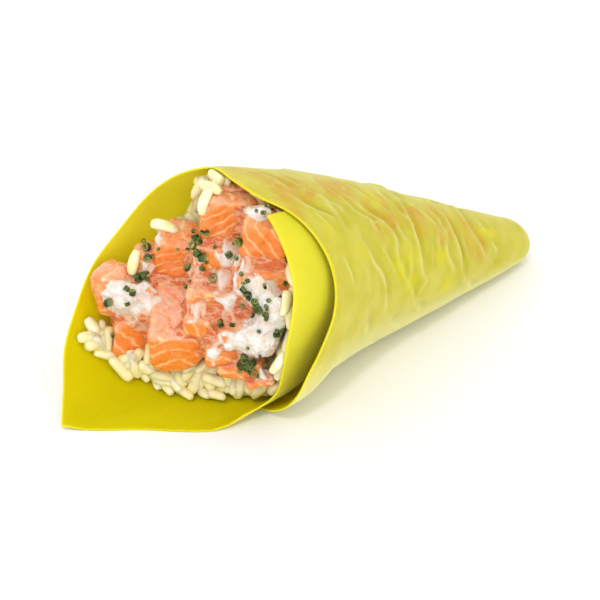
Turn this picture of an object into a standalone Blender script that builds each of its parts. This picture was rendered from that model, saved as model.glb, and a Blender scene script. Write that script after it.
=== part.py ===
"""Temaki hand roll lying on its side: a soy sheet rolled to a cone round rice, salmon and cream.

Sizes are in millimetres and degrees. +X runs to the closed nose, the open mouth faces -X,
the outer end of the sheet is on the -Y side, +Z is up and z = 0 is the resting plane.
A station is a distance from the nose along X. An angle round the roll counts from the top,
positive towards -Y. A roll angle counts along the sheet from its outer end.
"""
import math

import bmesh
import bpy
import numpy as np
from mathutils import Matrix, Vector

MM = 0.001

# ---------------------------------------------------------------- driving dimensions: the roll
NOSE_X = 81.0
AXIS_Y = -2.04
SHEET = 0.6
LAYER_GAP = 0.4
FILL_GAP = 0.45
PIECE_GAP = 0.3
NOSE_START = 0.8
NOSE_LENGTH = 7.5
BASE_FLAT = 0.03            # share of the half height pressed flat underneath
FAR_WIDTH = 1.06            # far half width over half height
HALF_HEIGHT = ((0, 5.3), (24, 11.5), (44, 17.0), (64, 22.5), (84, 27.3), (104, 30.9), (124, 32.6), (164, 33.0))
NEAR_WIDTH = ((0, 5.2), (24, 10.8), (44, 15.3), (64, 19.3), (74, 21.2), (84, 23.8), (94, 27.0),
              (104, 29.9), (114, 31.6), (164, 32.2))
NEAR_SQUARE = 0.6           # extra squareness of the lower near quarter at the rim
FAR_SQUARE = 0.2
RIM_LIFT = 1.3              # how far the far upper rim stands out

# ---------------------------------------------------------------- driving dimensions: the sheet
SEAM = 165.0                # angle at which the sheet's outer end lies
CORNER = 321.0              # roll angle of the corner that lies on the ground
TURN = 498.0                # roll angle of the sheet's inner end
STEP = 10.0                 # facet angle
RIM_EDGE = ((0, 115), (40, 115.5), (52, 114), (62, 110.5), (78, 105), (100, 102), (118, 103), (135, 106.5),
            (148, 111.5), (165, 112.5), (190, 110), (205, 113), (218, 116.5), (241, 124.6), (257, 133.4),
            (273, 140.2), (289, 147.8), (304, 153.2), (321, 160.8))
FLAP_EDGE = ((321, 160.8), (333, 153), (345, 144.5), (357, 138), (366, 132), (372, 126), (379, 119),
             (388, 116.8), (405, 117), (440, 117), (458, 115.5), (485, 114), (498, 113))
TUCK_START = 330.0          # roll angle where the sheet starts to pass under its own end
TUCK_LENGTH = 28.0
TUCK_LOOSE = 372.0          # up to this roll angle the rim of the tucked layer lies open
LOOSE_STATION = 114.0
LOOSE_LENGTH = 10.0
FLAP_START = 345.0          # roll angle where the inner flap begins
FLAP_RUN = 30.0             # over which its nose end draws back
INNER_START = 12.0          # station where the tucked layer starts
FLAP_INSET = 5.0            # how far the inner flap stands off the outer layer at the rim
FLAP_INSET_START = 72.0
FLAP_INSET_LENGTH = 45.0
FLAP_TOP = 18.0             # angles between which it stands off
FLAP_BOTTOM = 160.0
ROWS = (8, 14, 22, 32, 44, 56, 68, 80, 92)   # stations of the facets that sheet and rice share
SHEET_MOUTH_ROWS = 5
RICE_MOUTH_ROWS = 4

# ---------------------------------------------------------------- driving dimensions: the filling
RICE_EDGE = ((-200, 117), (-190, 120), (-180, 123.5), (-164, 129), (-155, 131), (-146, 135.5), (-134, 137),
             (-126, 138), (-116, 128), (-106, 113), (-88, 108), (-60, 106), (-40, 108), (-22, 110.5),
             (0, 110), (30, 110), (60, 112), (90, 113.5), (120, 114), (140, 115), (160, 117), (170, 120),
             (180, 123.5), (195, 129))
RICE_RINGS = 5
RICE_MIDDLE = (2.0, 30.0)   # middle of the rice front: across, height
RICE_FACE = 121.0           # station of that front on the middle line at RICE_FACE_HEIGHT
RICE_FACE_HEIGHT = 10.0
RICE_LEAN_ACROSS = 0.45     # the front comes forward towards the far side
RICE_LEAN_UP = 0.22         # and falls back towards the top
RICE_MIN = 111.5
RICE_BOWL = 9.0             # depth of the hollow in which the pieces sit
RICE_BUMP = 0.9

HEAP_YAW = -41.7            # the heap's pieces face this way
CHAMFER = 0.22              # corner cut over a piece's smallest side
EDGE_SOFT = 0.8
# name, station, across, height, width, depth, tall, yaw, pitch, roll
SALMON = (
    ("salmon_01", 122.0, 12.5, 20.5, 18.5, 25.0, 17.0, 0, 14, 0),
    ("salmon_02", 118.0, 18.0, 37.5, 13.5, 11.0, 11.5, -8, 15, 8),
    ("salmon_03", 132.0, 27.5, 26.0, 10.5, 9.0, 13.5, 18, 5, -6),
    ("salmon_04", 112.5, 2.5, 51.0, 14.0, 11.0, 14.5, 5, 10, 6),
    ("salmon_05", 117.0, 4.5, 41.0, 9.0, 9.0, 9.0, -12, 0, -10),
    ("salmon_06", 110.5, -10.0, 50.0, 11.5, 10.0, 11.5, -8, 6, 12),
    ("salmon_07", 113.5, -12.5, 40.5, 14.5, 11.0, 10.5, 8, 4, -8),
    ("salmon_08", 118.0, 0.5, 33.0, 15.0, 12.0, 10.5, -6, 18, 4),
    ("salmon_09", 117.5, -9.5, 26.5, 14.0, 11.0, 9.0, 10, 0, -12),
    ("salmon_10", 124.0, 0.0, 25.5, 8.5, 8.5, 9.0, -14, 0, 8),
    ("salmon_11", 122.0, -5.0, 19.0, 10.0, 8.5, 8.0, 6, 0, 0),
    ("salmon_12", 130.0, 24.0, 14.0, 9.5, 9.0, 12.0, 12, 0, 6),
    ("salmon_13", 119.0, -9.5, 14.5, 11.5, 7.0, 5.5, -10, 0, -8),
    ("salmon_14", 117.0, -15.0, 11.5, 7.5, 5.0, 2.8, 0, 0, -12),
    ("salmon_15", 124.0, 23.5, 33.5, 7.0, 8.0, 8.0, -10, 0, 10),
    ("salmon_16", 108.0, 2.5, 55.0, 11.0, 8.0, 7.0, 0, 0, 0),
    ("salmon_17", 119.0, 4.5, 36.0, 9.0, 9.0, 8.0, 12, 10, 0),
    ("salmon_18", 128.0, 22.0, 26.0, 9.0, 9.0, 9.0, -6, 0, -8),
)
# pieces just under the sheet: name, station, angle, along, across, thick, skew
UNDER_SHEET = (
    ("salmon_21", 99.0, 14.0, 13.0, 8.0, 5.0, 10),
    ("salmon_22", 81.0, 12.0, 8.0, 7.0, 4.0, -20),
    ("salmon_23", 72.0, 36.0, 13.0, 9.0, 5.0, 15),
    ("salmon_24", 58.0, 38.0, 8.0, 6.0, 4.0, -10),
    ("salmon_25", 46.0, 38.0, 11.0, 7.5, 4.0, 20),
    ("salmon_26", 33.0, 55.0, 9.0, 7.0, 3.5, -15),
)
UNDER_SHEET_CLEAR = 0.3
WALL_CLEAR = 0.25
# thick cream, as overlapping blobs: station, across, height, width, depth, tall
CREAM = (
    ("cream_01", ((117.5, -15.0, 38.5, 8.0, 7.0, 12.0), (116.5, -20.0, 33.0, 9.0, 7.0, 13.0),
                  (119.0, -16.0, 25.0, 13.0, 9.0, 11.0), (121.0, -8.5, 23.5, 7.0, 6.0, 7.0))),
    ("cream_02", ((133.5, 20.5, 27.0, 13.0, 6.0, 8.0), (134.0, 25.0, 24.5, 8.0, 6.0, 6.0))),
    ("cream_03", ((112.0, -9.0, 57.0, 8.0, 5.0, 4.2),)),
)
CREAM_PITCH = 12.0

SHEET_COLOUR = (0.66, 0.60, 0.05)
RICE_COLOUR = (0.80, 0.74, 0.55)
SALMON_COLOUR = (0.85, 0.26, 0.07)
CREAM_COLOUR = (0.80, 0.66, 0.58)


# ---------------------------------------------------------------- surface of the roll
def curve(where, table):
    """Smooth curve through (place, value) pairs."""
    places = np.array([pair[0] for pair in table], float)
    values = np.array([pair[1] for pair in table], float)
    where = np.asarray(where, float)
    slopes = np.gradient(values, places)
    i = np.clip(np.searchsorted(places, where, side="right") - 1, 0, len(places) - 2)
    width = places[i + 1] - places[i]
    u = np.clip((where - places[i]) / width, -0.2, 1.2)
    return ((2 * u**3 - 3 * u**2 + 1) * values[i] + (u**3 - 2 * u**2 + u) * width * slopes[i]
            + (3 * u**2 - 2 * u**3) * values[i + 1] + (u**3 - u**2) * width * slopes[i + 1])


def ease(u):
    """0 below 0, 1 above 1, smooth between."""
    u = np.clip(u, 0.0, 1.0)
    return u * u * (3.0 - 2.0 * u)


def from_top(angle):
    """The same angle between -180 and 180."""
    return (np.asarray(angle, float) + 180.0) % 360.0 - 180.0


def outline(angle, station):
    """Point on the outer surface of the roll."""
    station = np.asarray(station, float)
    half = curve(station, HALF_HEIGHT)
    tip = np.clip(1 - (station - NOSE_START) / NOSE_LENGTH, 0, 1)
    nose = np.sqrt(np.clip(1 - tip**2, 1e-4, 1))
    turned = from_top(angle)
    lift = RIM_LIFT * ease((station - 92) / 22) * ease((turned + 85) / 45) * ease((8 - turned) / 30)
    across, up = np.sin(np.radians(angle)), np.cos(np.radians(angle))
    near = across > 0
    square = np.where(near, NEAR_SQUARE * ease((station - 94) / 18), FAR_SQUARE * ease((station - 86) / 30))
    power = np.where(up < 0, 2.0 + square, 2.0)
    reach = (np.abs(across)**power + np.abs(up)**power)**(-1 / power)
    width = np.where(near, curve(station, NEAR_WIDTH), half * FAR_WIDTH)
    y = AXIS_Y - (width * nose + lift) * reach * across
    z = np.maximum(half * (1 - BASE_FLAT) + (half * nose + lift) * reach * up, 0.0)
    x = NOSE_X - station
    return np.stack(np.broadcast_arrays(x, y, z), -1)


def shell(angle, station, depth):
    """Point at a depth under the outer surface, measured square to it."""
    angle = np.asarray(angle, float)
    station = np.asarray(station, float)
    point = outline(angle, station)
    round_it = outline(angle + 0.5, station) - outline(angle - 0.5, station)
    along_it = outline(angle, station + 0.5) - outline(angle, np.maximum(station - 0.5, 0.02))
    normal = np.cross(round_it, along_it)
    normal /= np.maximum(np.linalg.norm(normal, axis=-1, keepdims=True), 1e-9)
    middle = (outline(0.0, station) + outline(180.0, station)) / 2
    outward = np.where(np.sum(normal * (point - middle), -1, keepdims=True) < 0, -1.0, 1.0)
    return point - normal * outward * np.asarray(depth, float)[..., None]


def flap_inset(angle, station):
    """Extra depth of the inner flap on the near side, growing to the rim."""
    u = np.clip((np.asarray(angle, float) - FLAP_TOP) / (FLAP_BOTTOM - FLAP_TOP), 0, 1)
    bulge = np.sin(math.pi * u**1.8)**1.5
    return FLAP_INSET * bulge * ease((station - FLAP_INSET_START) / FLAP_INSET_LENGTH)


def layer_depth(roll, station):
    """Depth of the sheet's outer face under the outer surface of the roll."""
    depth = ease((roll - TUCK_START) / TUCK_LENGTH) * (SHEET + LAYER_GAP) * np.ones_like(station)
    if roll <= TUCK_LOOSE:
        depth *= 1 - ease((station - LOOSE_STATION) / LOOSE_LENGTH)
    if roll > FLAP_START:
        depth += flap_inset(SEAM + 360.0 - roll, station)
    return depth


def rice_depth(angle, station):
    """Depth of the rice under the outer surface, clear of every layer of the sheet."""
    turned = from_top(angle)
    doubled = ease((turned - 6.0) / 14.0) + ease((-146.0 - turned) / 14.0)
    return SHEET + FILL_GAP + doubled * (SHEET + LAYER_GAP) + flap_inset(turned, station)


# ---------------------------------------------------------------- mesh helpers
def new_object(name, verts, faces, colour=None, roughness=0.5):
    """Closed mesh object from points in millimetres, with its own material."""
    mesh = bpy.data.meshes.new(name)
    points = [tuple(float(c) * MM for c in v) for v in verts]
    mesh.from_pydata(points, [], [tuple(int(i) for i in f) for f in faces])
    mesh.validate()
    bm = bmesh.new()
    bm.from_mesh(mesh)
    bmesh.ops.recalc_face_normals(bm, faces=bm.faces[:])
    bm.to_mesh(mesh)
    bm.free()
    obj = bpy.data.objects.new(name, mesh)
    bpy.context.scene.collection.objects.link(obj)
    if colour is not None:
        material = bpy.data.materials.new(name)
        material.use_nodes = True
        surface = material.node_tree.nodes["Principled BSDF"]
        surface.inputs["Base Color"].default_value = (*colour, 1.0)
        surface.inputs["Roughness"].default_value = roughness
        mesh.materials.append(material)
    return obj


def combine(obj, other, operation):
    """Boolean of obj with other, which is used up."""
    modifier = obj.modifiers.new("cut", "BOOLEAN")
    modifier.operation = operation
    modifier.solver = "EXACT"
    modifier.object = other
    graph = bpy.context.evaluated_depsgraph_get()
    result = bpy.data.meshes.new_from_object(obj.evaluated_get(graph))
    obj.modifiers.clear()
    before = obj.data
    obj.data = result
    bpy.data.meshes.remove(before)
    bpy.data.objects.remove(other, do_unlink=True)


def connected(start):
    """All vertices joined to one vertex by edges."""
    found = {start}
    stack = [start]
    while stack:
        vert = stack.pop()
        for edge in vert.link_edges:
            other = edge.other_vert(vert)
            if other not in found:
                found.add(other)
                stack.append(other)
    return found


def keep_largest(obj):
    """Drop crumbs that a cut left, so that the piece is one body."""
    bm = bmesh.new()
    bm.from_mesh(obj.data)
    bmesh.ops.remove_doubles(bm, verts=bm.verts[:], dist=1e-6)
    left = set(bm.verts)
    groups = []
    while left:
        group = connected(next(iter(left)))
        left -= group
        groups.append(group)
    groups.sort(key=len)
    for group in groups[:-1]:
        bmesh.ops.delete(bm, geom=list(group), context="VERTS")
    bmesh.ops.triangulate(bm, faces=bm.faces[:])
    bmesh.ops.recalc_face_normals(bm, faces=bm.faces[:])
    bm.to_mesh(obj.data)
    bm.free()


def tube_faces(rings, sides):
    """Quads between closed rings of points."""
    faces = []
    for j in range(rings - 1):
        for i in range(sides):
            k = (i + 1) % sides
            faces.append((j * sides + i, j * sides + k, (j + 1) * sides + k, (j + 1) * sides + i))
    return faces


# ---------------------------------------------------------------- the sheet
def sheet_stations(roll):
    """Facet stations of one line of the sheet from its nose end to its edge."""
    table = RIM_EDGE if roll <= CORNER else FLAP_EDGE
    edge = float(curve(roll, table))
    first = [NOSE_START + 1.0, NOSE_START + 2.7] + list(ROWS[:3])
    if roll > FLAP_START:
        low = first[0] + (INNER_START - first[0]) * float(ease((roll - FLAP_START) / FLAP_RUN))
        first = [low + (ROWS[3] - low) * k / 5 for k in range(5)]
    last = [ROWS[-1] + (edge - ROWS[-1]) * (k + 1) / SHEET_MOUTH_ROWS for k in range(SHEET_MOUTH_ROWS)]
    return np.array(first + list(ROWS[3:]) + last)


def make_nose_cap():
    """Solid that closes the small opening left at the nose."""
    sides, rings = 18, 6
    angles = np.arange(sides) * 360.0 / sides
    verts = []
    for station in NOSE_START + 0.15 + 5.0 * np.linspace(0, 1, rings)**1.6:
        verts += list(shell(angles, np.full(sides, station), np.full(sides, SHEET / 2)))
    faces = tube_faces(rings, sides)
    faces.append(tuple(range(sides)))
    faces.append(tuple(reversed(range((rings - 1) * sides, rings * sides))))
    return new_object("nose_cap", verts, faces)


def make_wrap():
    """The sheet rolled about one and a third turns, as one solid."""
    rolls = [STEP * k for k in range(int(TURN // STEP) + 1)]
    rolls = [r for r in rolls if abs(r - CORNER) > STEP / 2 and TURN - r > STEP / 2]
    rolls = sorted(rolls + [CORNER, TURN])
    outer, inner = [], []
    for roll in rolls:
        stations = sheet_stations(roll)
        depth = layer_depth(roll, stations)
        outer += list(shell(SEAM - roll, stations, depth))
        inner += list(shell(SEAM - roll, stations, depth + SHEET))
    lines, rows = len(rolls), len(stations)
    back = lines * rows
    faces = []
    for i in range(lines - 1):
        a, b = i * rows, (i + 1) * rows
        for j in range(rows - 1):
            faces.append((a + j, a + j + 1, b + j + 1, b + j))
            faces.append((back + a + j, back + b + j, back + b + j + 1, back + a + j + 1))
        faces.append((a, b, back + b, back + a))
        faces.append((a + rows - 1, back + a + rows - 1, back + b + rows - 1, b + rows - 1))
    end = (lines - 1) * rows
    for j in range(rows - 1):
        faces.append((j, back + j, back + j + 1, j + 1))
        faces.append((end + j, end + j + 1, back + end + j + 1, back + end + j))
    wrap = new_object("wrap", outer + inner, faces, SHEET_COLOUR, 0.45)
    combine(wrap, make_nose_cap(), "UNION")
    keep_largest(wrap)


# ---------------------------------------------------------------- the rice
def rice_face(y, z):
    """Station of the rice front in the middle of the mouth."""
    lean = RICE_LEAN_ACROSS * (y - AXIS_Y) - RICE_LEAN_UP * (z - RICE_FACE_HEIGHT)
    return np.maximum(RICE_MIN, RICE_FACE + lean)


def make_rice():
    """The heap of rice from the nose to its uneven front."""
    angles = SEAM - STEP * np.arange(int(360 // STEP))
    sides = len(angles)
    edge = curve(from_top(angles), RICE_EDGE) + RICE_BUMP * np.sin(0.19 * angles) * np.cos(0.07 * angles)
    stations = [np.full(sides, float(row)) for row in ROWS]
    for k in range(RICE_MOUTH_ROWS):
        stations.append(ROWS[-1] + (edge - ROWS[-1]) * (k + 1) / RICE_MOUTH_ROWS)
    verts = []
    for station in stations:
        verts += list(shell(angles, station, rice_depth(angles, station)))
    wall = np.array(verts[-sides:])
    middle = np.array([0.0, AXIS_Y + RICE_MIDDLE[0], RICE_MIDDLE[1]])
    for k in range(1, RICE_RINGS):
        share = 1 - k / RICE_RINGS
        ring = middle + (wall - middle) * share
        bump = RICE_BUMP * np.sin(ring[:, 1] * 0.9 + k) * np.cos(ring[:, 2] * 0.8 - k)
        bowl = RICE_BOWL * ease((0.95 - share) / 0.4)
        inward = ease((1.0 - share) / 0.4)
        front = rice_face(ring[:, 1], ring[:, 2]) - bowl + bump
        ring[:, 0] = NOSE_X - (edge * (1 - inward) + front * inward)
        verts += list(ring)
    middle[0] = NOSE_X - float(rice_face(middle[1], middle[2])) + RICE_BOWL
    verts.append(middle)
    rings = len(stations) + RICE_RINGS - 1
    faces = tube_faces(rings, sides)
    last = (rings - 1) * sides
    for i in range(sides):
        faces.append((last + i, last + (i + 1) % sides, len(verts) - 1))
    faces.append(tuple(range(sides)))
    return new_object("rice", verts, faces, RICE_COLOUR, 0.5)


# ---------------------------------------------------------------- the salmon
def heap_axes(yaw, pitch, roll):
    """Axes of a piece in the heap: across the view, away from it, up."""
    turn = Matrix.Rotation(math.radians(HEAP_YAW + yaw), 3, "Z")
    turn = turn @ Matrix.Rotation(math.radians(pitch), 3, "X")
    return turn @ Matrix.Rotation(math.radians(roll), 3, "Y")


def block(name, centre, size, turn):
    """A block with unevenly cut corners, as the half spaces that bound it."""
    planes = []
    for i in range(3):
        for sign in (-1, 1):
            normal = turn.col[i] * sign
            planes.append((normal, normal.dot(centre) + size[i] / 2))
    corner_reach = sum(size) / 2 / math.sqrt(3)
    cut = min(size) * CHAMFER
    for ix in (-1, 1):
        for iy in (-1, 1):
            for iz in (-1, 1):
                normal = (turn.col[0] * ix + turn.col[1] * iy + turn.col[2] * iz).normalized()
                uneven = 1.0 + 0.35 * math.sin(7.1 * ix + 3.3 * iy + 5.7 * iz + centre.x)
                planes.append((normal, normal.dot(centre) + corner_reach - cut * uneven))
    return {"name": name, "centre": centre, "size": size, "turn": turn, "planes": planes}


def heap_pieces():
    """The pieces that show at the mouth."""
    pieces = []
    for name, station, across, height, width, depth, tall, yaw, pitch, roll in SALMON:
        centre = Vector((NOSE_X - station, AXIS_Y + across, height))
        pieces.append(block(name, centre, (width, depth, tall), heap_axes(yaw, pitch, roll)))
    return pieces


def under_sheet_pieces():
    """The pieces that show through the sheet, each lying flat against its inner face."""
    pieces = []
    for name, station, angle, along, across, thick, skew in UNDER_SHEET:
        sag = across**2 / 8 / float(curve(station, HALF_HEIGHT))
        depth = rice_depth(angle, station) + UNDER_SHEET_CLEAR + sag + thick / 2
        centre = Vector(shell(angle, station, depth))
        round_it = Vector(shell(angle + 2, station, 1.0) - shell(angle - 2, station, 1.0)).normalized()
        along_it = Vector(shell(angle, station - 3, 1.0) - shell(angle, station + 3, 1.0)).normalized()
        up = along_it.cross(round_it).normalized()
        if up.z < 0:
            up = -up
        turn = Matrix((along_it, up.cross(along_it), up)).transposed()
        turn = turn @ Matrix.Rotation(math.radians(skew), 3, "Z")
        pieces.append(block(name, centre, (along, across, thick), turn))
    return pieces


def reach_along(piece, axis):
    """The interval that a block covers along an axis."""
    half = sum(abs(piece["turn"].col[i].dot(axis)) * piece["size"][i] / 2 for i in range(3))
    middle = piece["centre"].dot(axis)
    return middle - half, middle + half


def part_pair(first, second):
    """Give two pieces that touch one shared flat between them."""
    narrowest = None
    for axis in list(first["turn"].transposed()) + list(second["turn"].transposed()):
        if (second["centre"] - first["centre"]).dot(axis) < 0:
            axis = -axis
        low = reach_along(second, axis)[0]
        high = reach_along(first, axis)[1]
        if narrowest is None or high - low < narrowest[0]:
            narrowest = (high - low, axis, (high + low) / 2)
    overlap, axis, middle = narrowest
    if overlap > -PIECE_GAP:
        first["planes"].append((axis, middle - PIECE_GAP / 2))
        second["planes"].append((-axis, -(middle + PIECE_GAP / 2)))


def keep_in_roll(piece):
    """Flats that keep a piece inside the rolled sheet."""
    station = NOSE_X - piece["centre"].x
    middle = Vector((piece["centre"].x, AXIS_Y, float(curve(station, HALF_HEIGHT))))
    for angle in range(-180, 180, 12):
        depth = rice_depth(angle, station) + WALL_CLEAR
        point = Vector(shell(angle, station, depth))
        round_it = shell(angle + 2, station, depth) - shell(angle - 2, station, depth)
        along_it = shell(angle, station + 4, depth) - shell(angle, station - 4, depth)
        normal = Vector(np.cross(round_it, along_it)).normalized()
        if normal.dot(point - middle) < 0:
            normal = -normal
        if reach_along(piece, normal)[1] > normal.dot(point):
            piece["planes"].append((normal, normal.dot(point)))


def convex_body(planes, grow=0.0, soften=0.0):
    """Points and faces of the space inside every plane."""
    bm = bmesh.new()
    bmesh.ops.create_cube(bm, size=400.0)
    for normal, distance in planes:
        everything = bm.verts[:] + bm.edges[:] + bm.faces[:]
        cut = bmesh.ops.bisect_plane(bm, geom=everything, dist=1e-5, plane_co=normal * (distance + grow),
                                     plane_no=normal, clear_outer=True)
        edges = [item for item in cut["geom_cut"] if isinstance(item, bmesh.types.BMEdge)]
        if len(edges) > 2:
            bmesh.ops.contextual_create(bm, geom=edges)
    bmesh.ops.remove_doubles(bm, verts=bm.verts[:], dist=0.12)
    if soften > 0:
        bmesh.ops.bevel(bm, geom=bm.edges[:], offset=soften, segments=1, affect="EDGES", clamp_overlap=True)
    points = [v.co.copy() for v in bm.verts]
    bm.free()
    bm = bmesh.new()
    for point in points:
        bm.verts.new(point)
    bmesh.ops.convex_hull(bm, input=bm.verts[:])
    inside = [v for v in bm.verts if not v.link_faces]
    bmesh.ops.delete(bm, geom=inside, context="VERTS")
    bmesh.ops.dissolve_limit(bm, angle_limit=math.radians(1.0), verts=bm.verts[:], edges=bm.edges[:])
    bmesh.ops.triangulate(bm, faces=bm.faces[:])
    bm.verts.ensure_lookup_table()
    verts = [v.co.copy() for v in bm.verts]
    faces = [[v.index for v in f.verts] for f in bm.faces]
    bm.free()
    return verts, faces


def make_salmon():
    """All pieces of salmon; returns the slightly larger bodies that cut rice and cream."""
    pieces = heap_pieces() + under_sheet_pieces()
    for i, first in enumerate(pieces):
        for second in pieces[i + 1:]:
            part_pair(first, second)
    cutters = []
    for piece in pieces:
        keep_in_roll(piece)
        new_object(piece["name"], *convex_body(piece["planes"], soften=EDGE_SOFT), SALMON_COLOUR, 0.35)
        cutters.append(convex_body(piece["planes"], grow=PIECE_GAP))
    return cutters


# ---------------------------------------------------------------- the cream
def make_blob(name, station, across, height, width, depth, tall):
    """Rounded blob facing the same way as the pieces."""
    centre = Vector((NOSE_X - station, AXIS_Y + across, height))
    turn = heap_axes(0, CREAM_PITCH, 0)
    bm = bmesh.new()
    bmesh.ops.create_icosphere(bm, subdivisions=2, radius=0.5)
    verts = [centre + turn @ Vector((v.co.x * width, v.co.y * depth, v.co.z * tall)) for v in bm.verts]
    bm.verts.index_update()
    faces = [[v.index for v in f.verts] for f in bm.faces]
    bm.free()
    return new_object(name, verts, faces, CREAM_COLOUR, 0.3)


def grown_copy(obj):
    """Copy of a body pushed out by a little more than the gap between pieces."""
    bm = bmesh.new()
    bm.from_mesh(obj.data)
    bm.normal_update()
    verts = [(v.co + v.normal * PIECE_GAP * 1.3 * MM) / MM for v in bm.verts]
    faces = [[v.index for v in f.verts] for f in bm.faces]
    bm.free()
    return new_object("cutter", verts, faces)


def boxes_meet(first, second):
    """Whether two sets of points have boxes that meet."""
    for k in range(3):
        if max(v[k] for v in first) < min(v[k] for v in second):
            return False
        if max(v[k] for v in second) < min(v[k] for v in first):
            return False
    return True


def make_cream(name, blobs, cutters):
    """One dollop of cream lying against the salmon."""
    cream = make_blob(name, *blobs[0])
    for blob in blobs[1:]:
        combine(cream, make_blob("blob", *blob), "UNION")
    points = [v.co / MM for v in cream.data.vertices]
    for verts, faces in cutters:
        if boxes_meet(points, verts):
            combine(cream, new_object("cutter", verts, faces), "DIFFERENCE")
    keep_largest(cream)
    return cream


def main():
    for obj in list(bpy.data.objects):
        bpy.data.objects.remove(obj, do_unlink=True)
    make_wrap()
    rice = make_rice()
    cutters = make_salmon()
    for name, blobs in CREAM:
        combine(rice, grown_copy(make_cream(name, blobs, cutters)), "DIFFERENCE")
    for verts, faces in cutters:
        combine(rice, new_object("cutter", verts, faces), "DIFFERENCE")
    keep_largest(rice)


main()
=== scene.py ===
"""Looks of the temaki hand roll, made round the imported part.

Sizes are in millimetres and degrees, in the part's frame: +X runs to the closed nose, the open
mouth faces -X, +Z is up. A station is a distance from the nose along X. An angle round the roll
counts from the top, positive towards -Y. A roll angle counts along the sheet from its outer end.
"""
import math
import random

import bmesh
import bpy
import numpy as np
from mathutils import Matrix, Vector, noise
from mathutils.bvhtree import BVHTree


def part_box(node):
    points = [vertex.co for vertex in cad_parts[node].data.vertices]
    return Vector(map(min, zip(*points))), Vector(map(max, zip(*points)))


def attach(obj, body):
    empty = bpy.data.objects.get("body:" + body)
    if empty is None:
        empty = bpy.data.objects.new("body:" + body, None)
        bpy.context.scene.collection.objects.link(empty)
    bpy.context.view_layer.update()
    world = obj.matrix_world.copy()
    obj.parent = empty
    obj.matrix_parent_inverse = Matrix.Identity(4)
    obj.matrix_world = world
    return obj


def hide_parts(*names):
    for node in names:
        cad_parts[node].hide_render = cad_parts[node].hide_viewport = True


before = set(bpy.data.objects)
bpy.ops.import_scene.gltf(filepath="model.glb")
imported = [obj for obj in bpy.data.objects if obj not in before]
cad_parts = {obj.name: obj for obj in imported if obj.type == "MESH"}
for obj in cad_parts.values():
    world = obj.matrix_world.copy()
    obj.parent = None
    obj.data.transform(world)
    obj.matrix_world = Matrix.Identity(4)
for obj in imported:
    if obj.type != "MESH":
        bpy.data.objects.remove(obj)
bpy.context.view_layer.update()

MM = 0.001
BODY = "root"

# ---------------------------------------------------------------- the roll, as in the part
NOSE_X = 81.0
AXIS_Y = -2.04
SHEET = 0.6
LAYER_GAP = 0.4
NOSE_START = 0.8
NOSE_LENGTH = 7.5
BASE_FLAT = 0.03
FAR_WIDTH = 1.06
HALF_HEIGHT = ((0, 5.3), (24, 11.5), (44, 17.0), (64, 22.5), (84, 27.3), (104, 30.9), (124, 32.6), (164, 33.0))
NEAR_WIDTH = ((0, 5.2), (24, 10.8), (44, 15.3), (64, 19.3), (74, 21.2), (84, 23.8), (94, 27.0),
              (104, 29.9), (114, 31.6), (164, 32.2))
NEAR_SQUARE = 0.6
FAR_SQUARE = 0.2
RIM_LIFT = 1.3
SEAM = 165.0
CORNER = 321.0
TURN = 498.0
RIM_EDGE = ((0, 115), (40, 115.5), (52, 114), (62, 110.5), (78, 105), (100, 102), (118, 103), (135, 106.5),
            (148, 111.5), (165, 112.5), (190, 110), (205, 113), (218, 116.5), (241, 124.6), (257, 133.4),
            (273, 140.2), (289, 147.8), (304, 153.2), (321, 160.8))
FLAP_EDGE = ((321, 160.8), (333, 153), (345, 144.5), (357, 138), (366, 132), (372, 126), (379, 119),
             (388, 116.8), (405, 117), (440, 117), (458, 115.5), (485, 114), (498, 113))
TUCK_START = 330.0
TUCK_LENGTH = 28.0
TUCK_LOOSE = 372.0
LOOSE_STATION = 114.0
LOOSE_LENGTH = 10.0
FLAP_START = 345.0
FLAP_RUN = 30.0
INNER_START = 12.0
FLAP_INSET = 5.0
FLAP_INSET_START = 72.0
FLAP_INSET_LENGTH = 45.0
FLAP_TOP = 18.0
FLAP_BOTTOM = 160.0

# ---------------------------------------------------------------- the sheet's skin
VISIBLE_SHEET = 0.45        # the skin is drawn a little thinner than the solid
SHOWN_STEP = 1.7            # degrees between the sheet's lines where its outer face shows
SHOWN_END = 350.0
COVERED_STEP = 4.0          # and further in
SHEET_ROWS = 196
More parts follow.
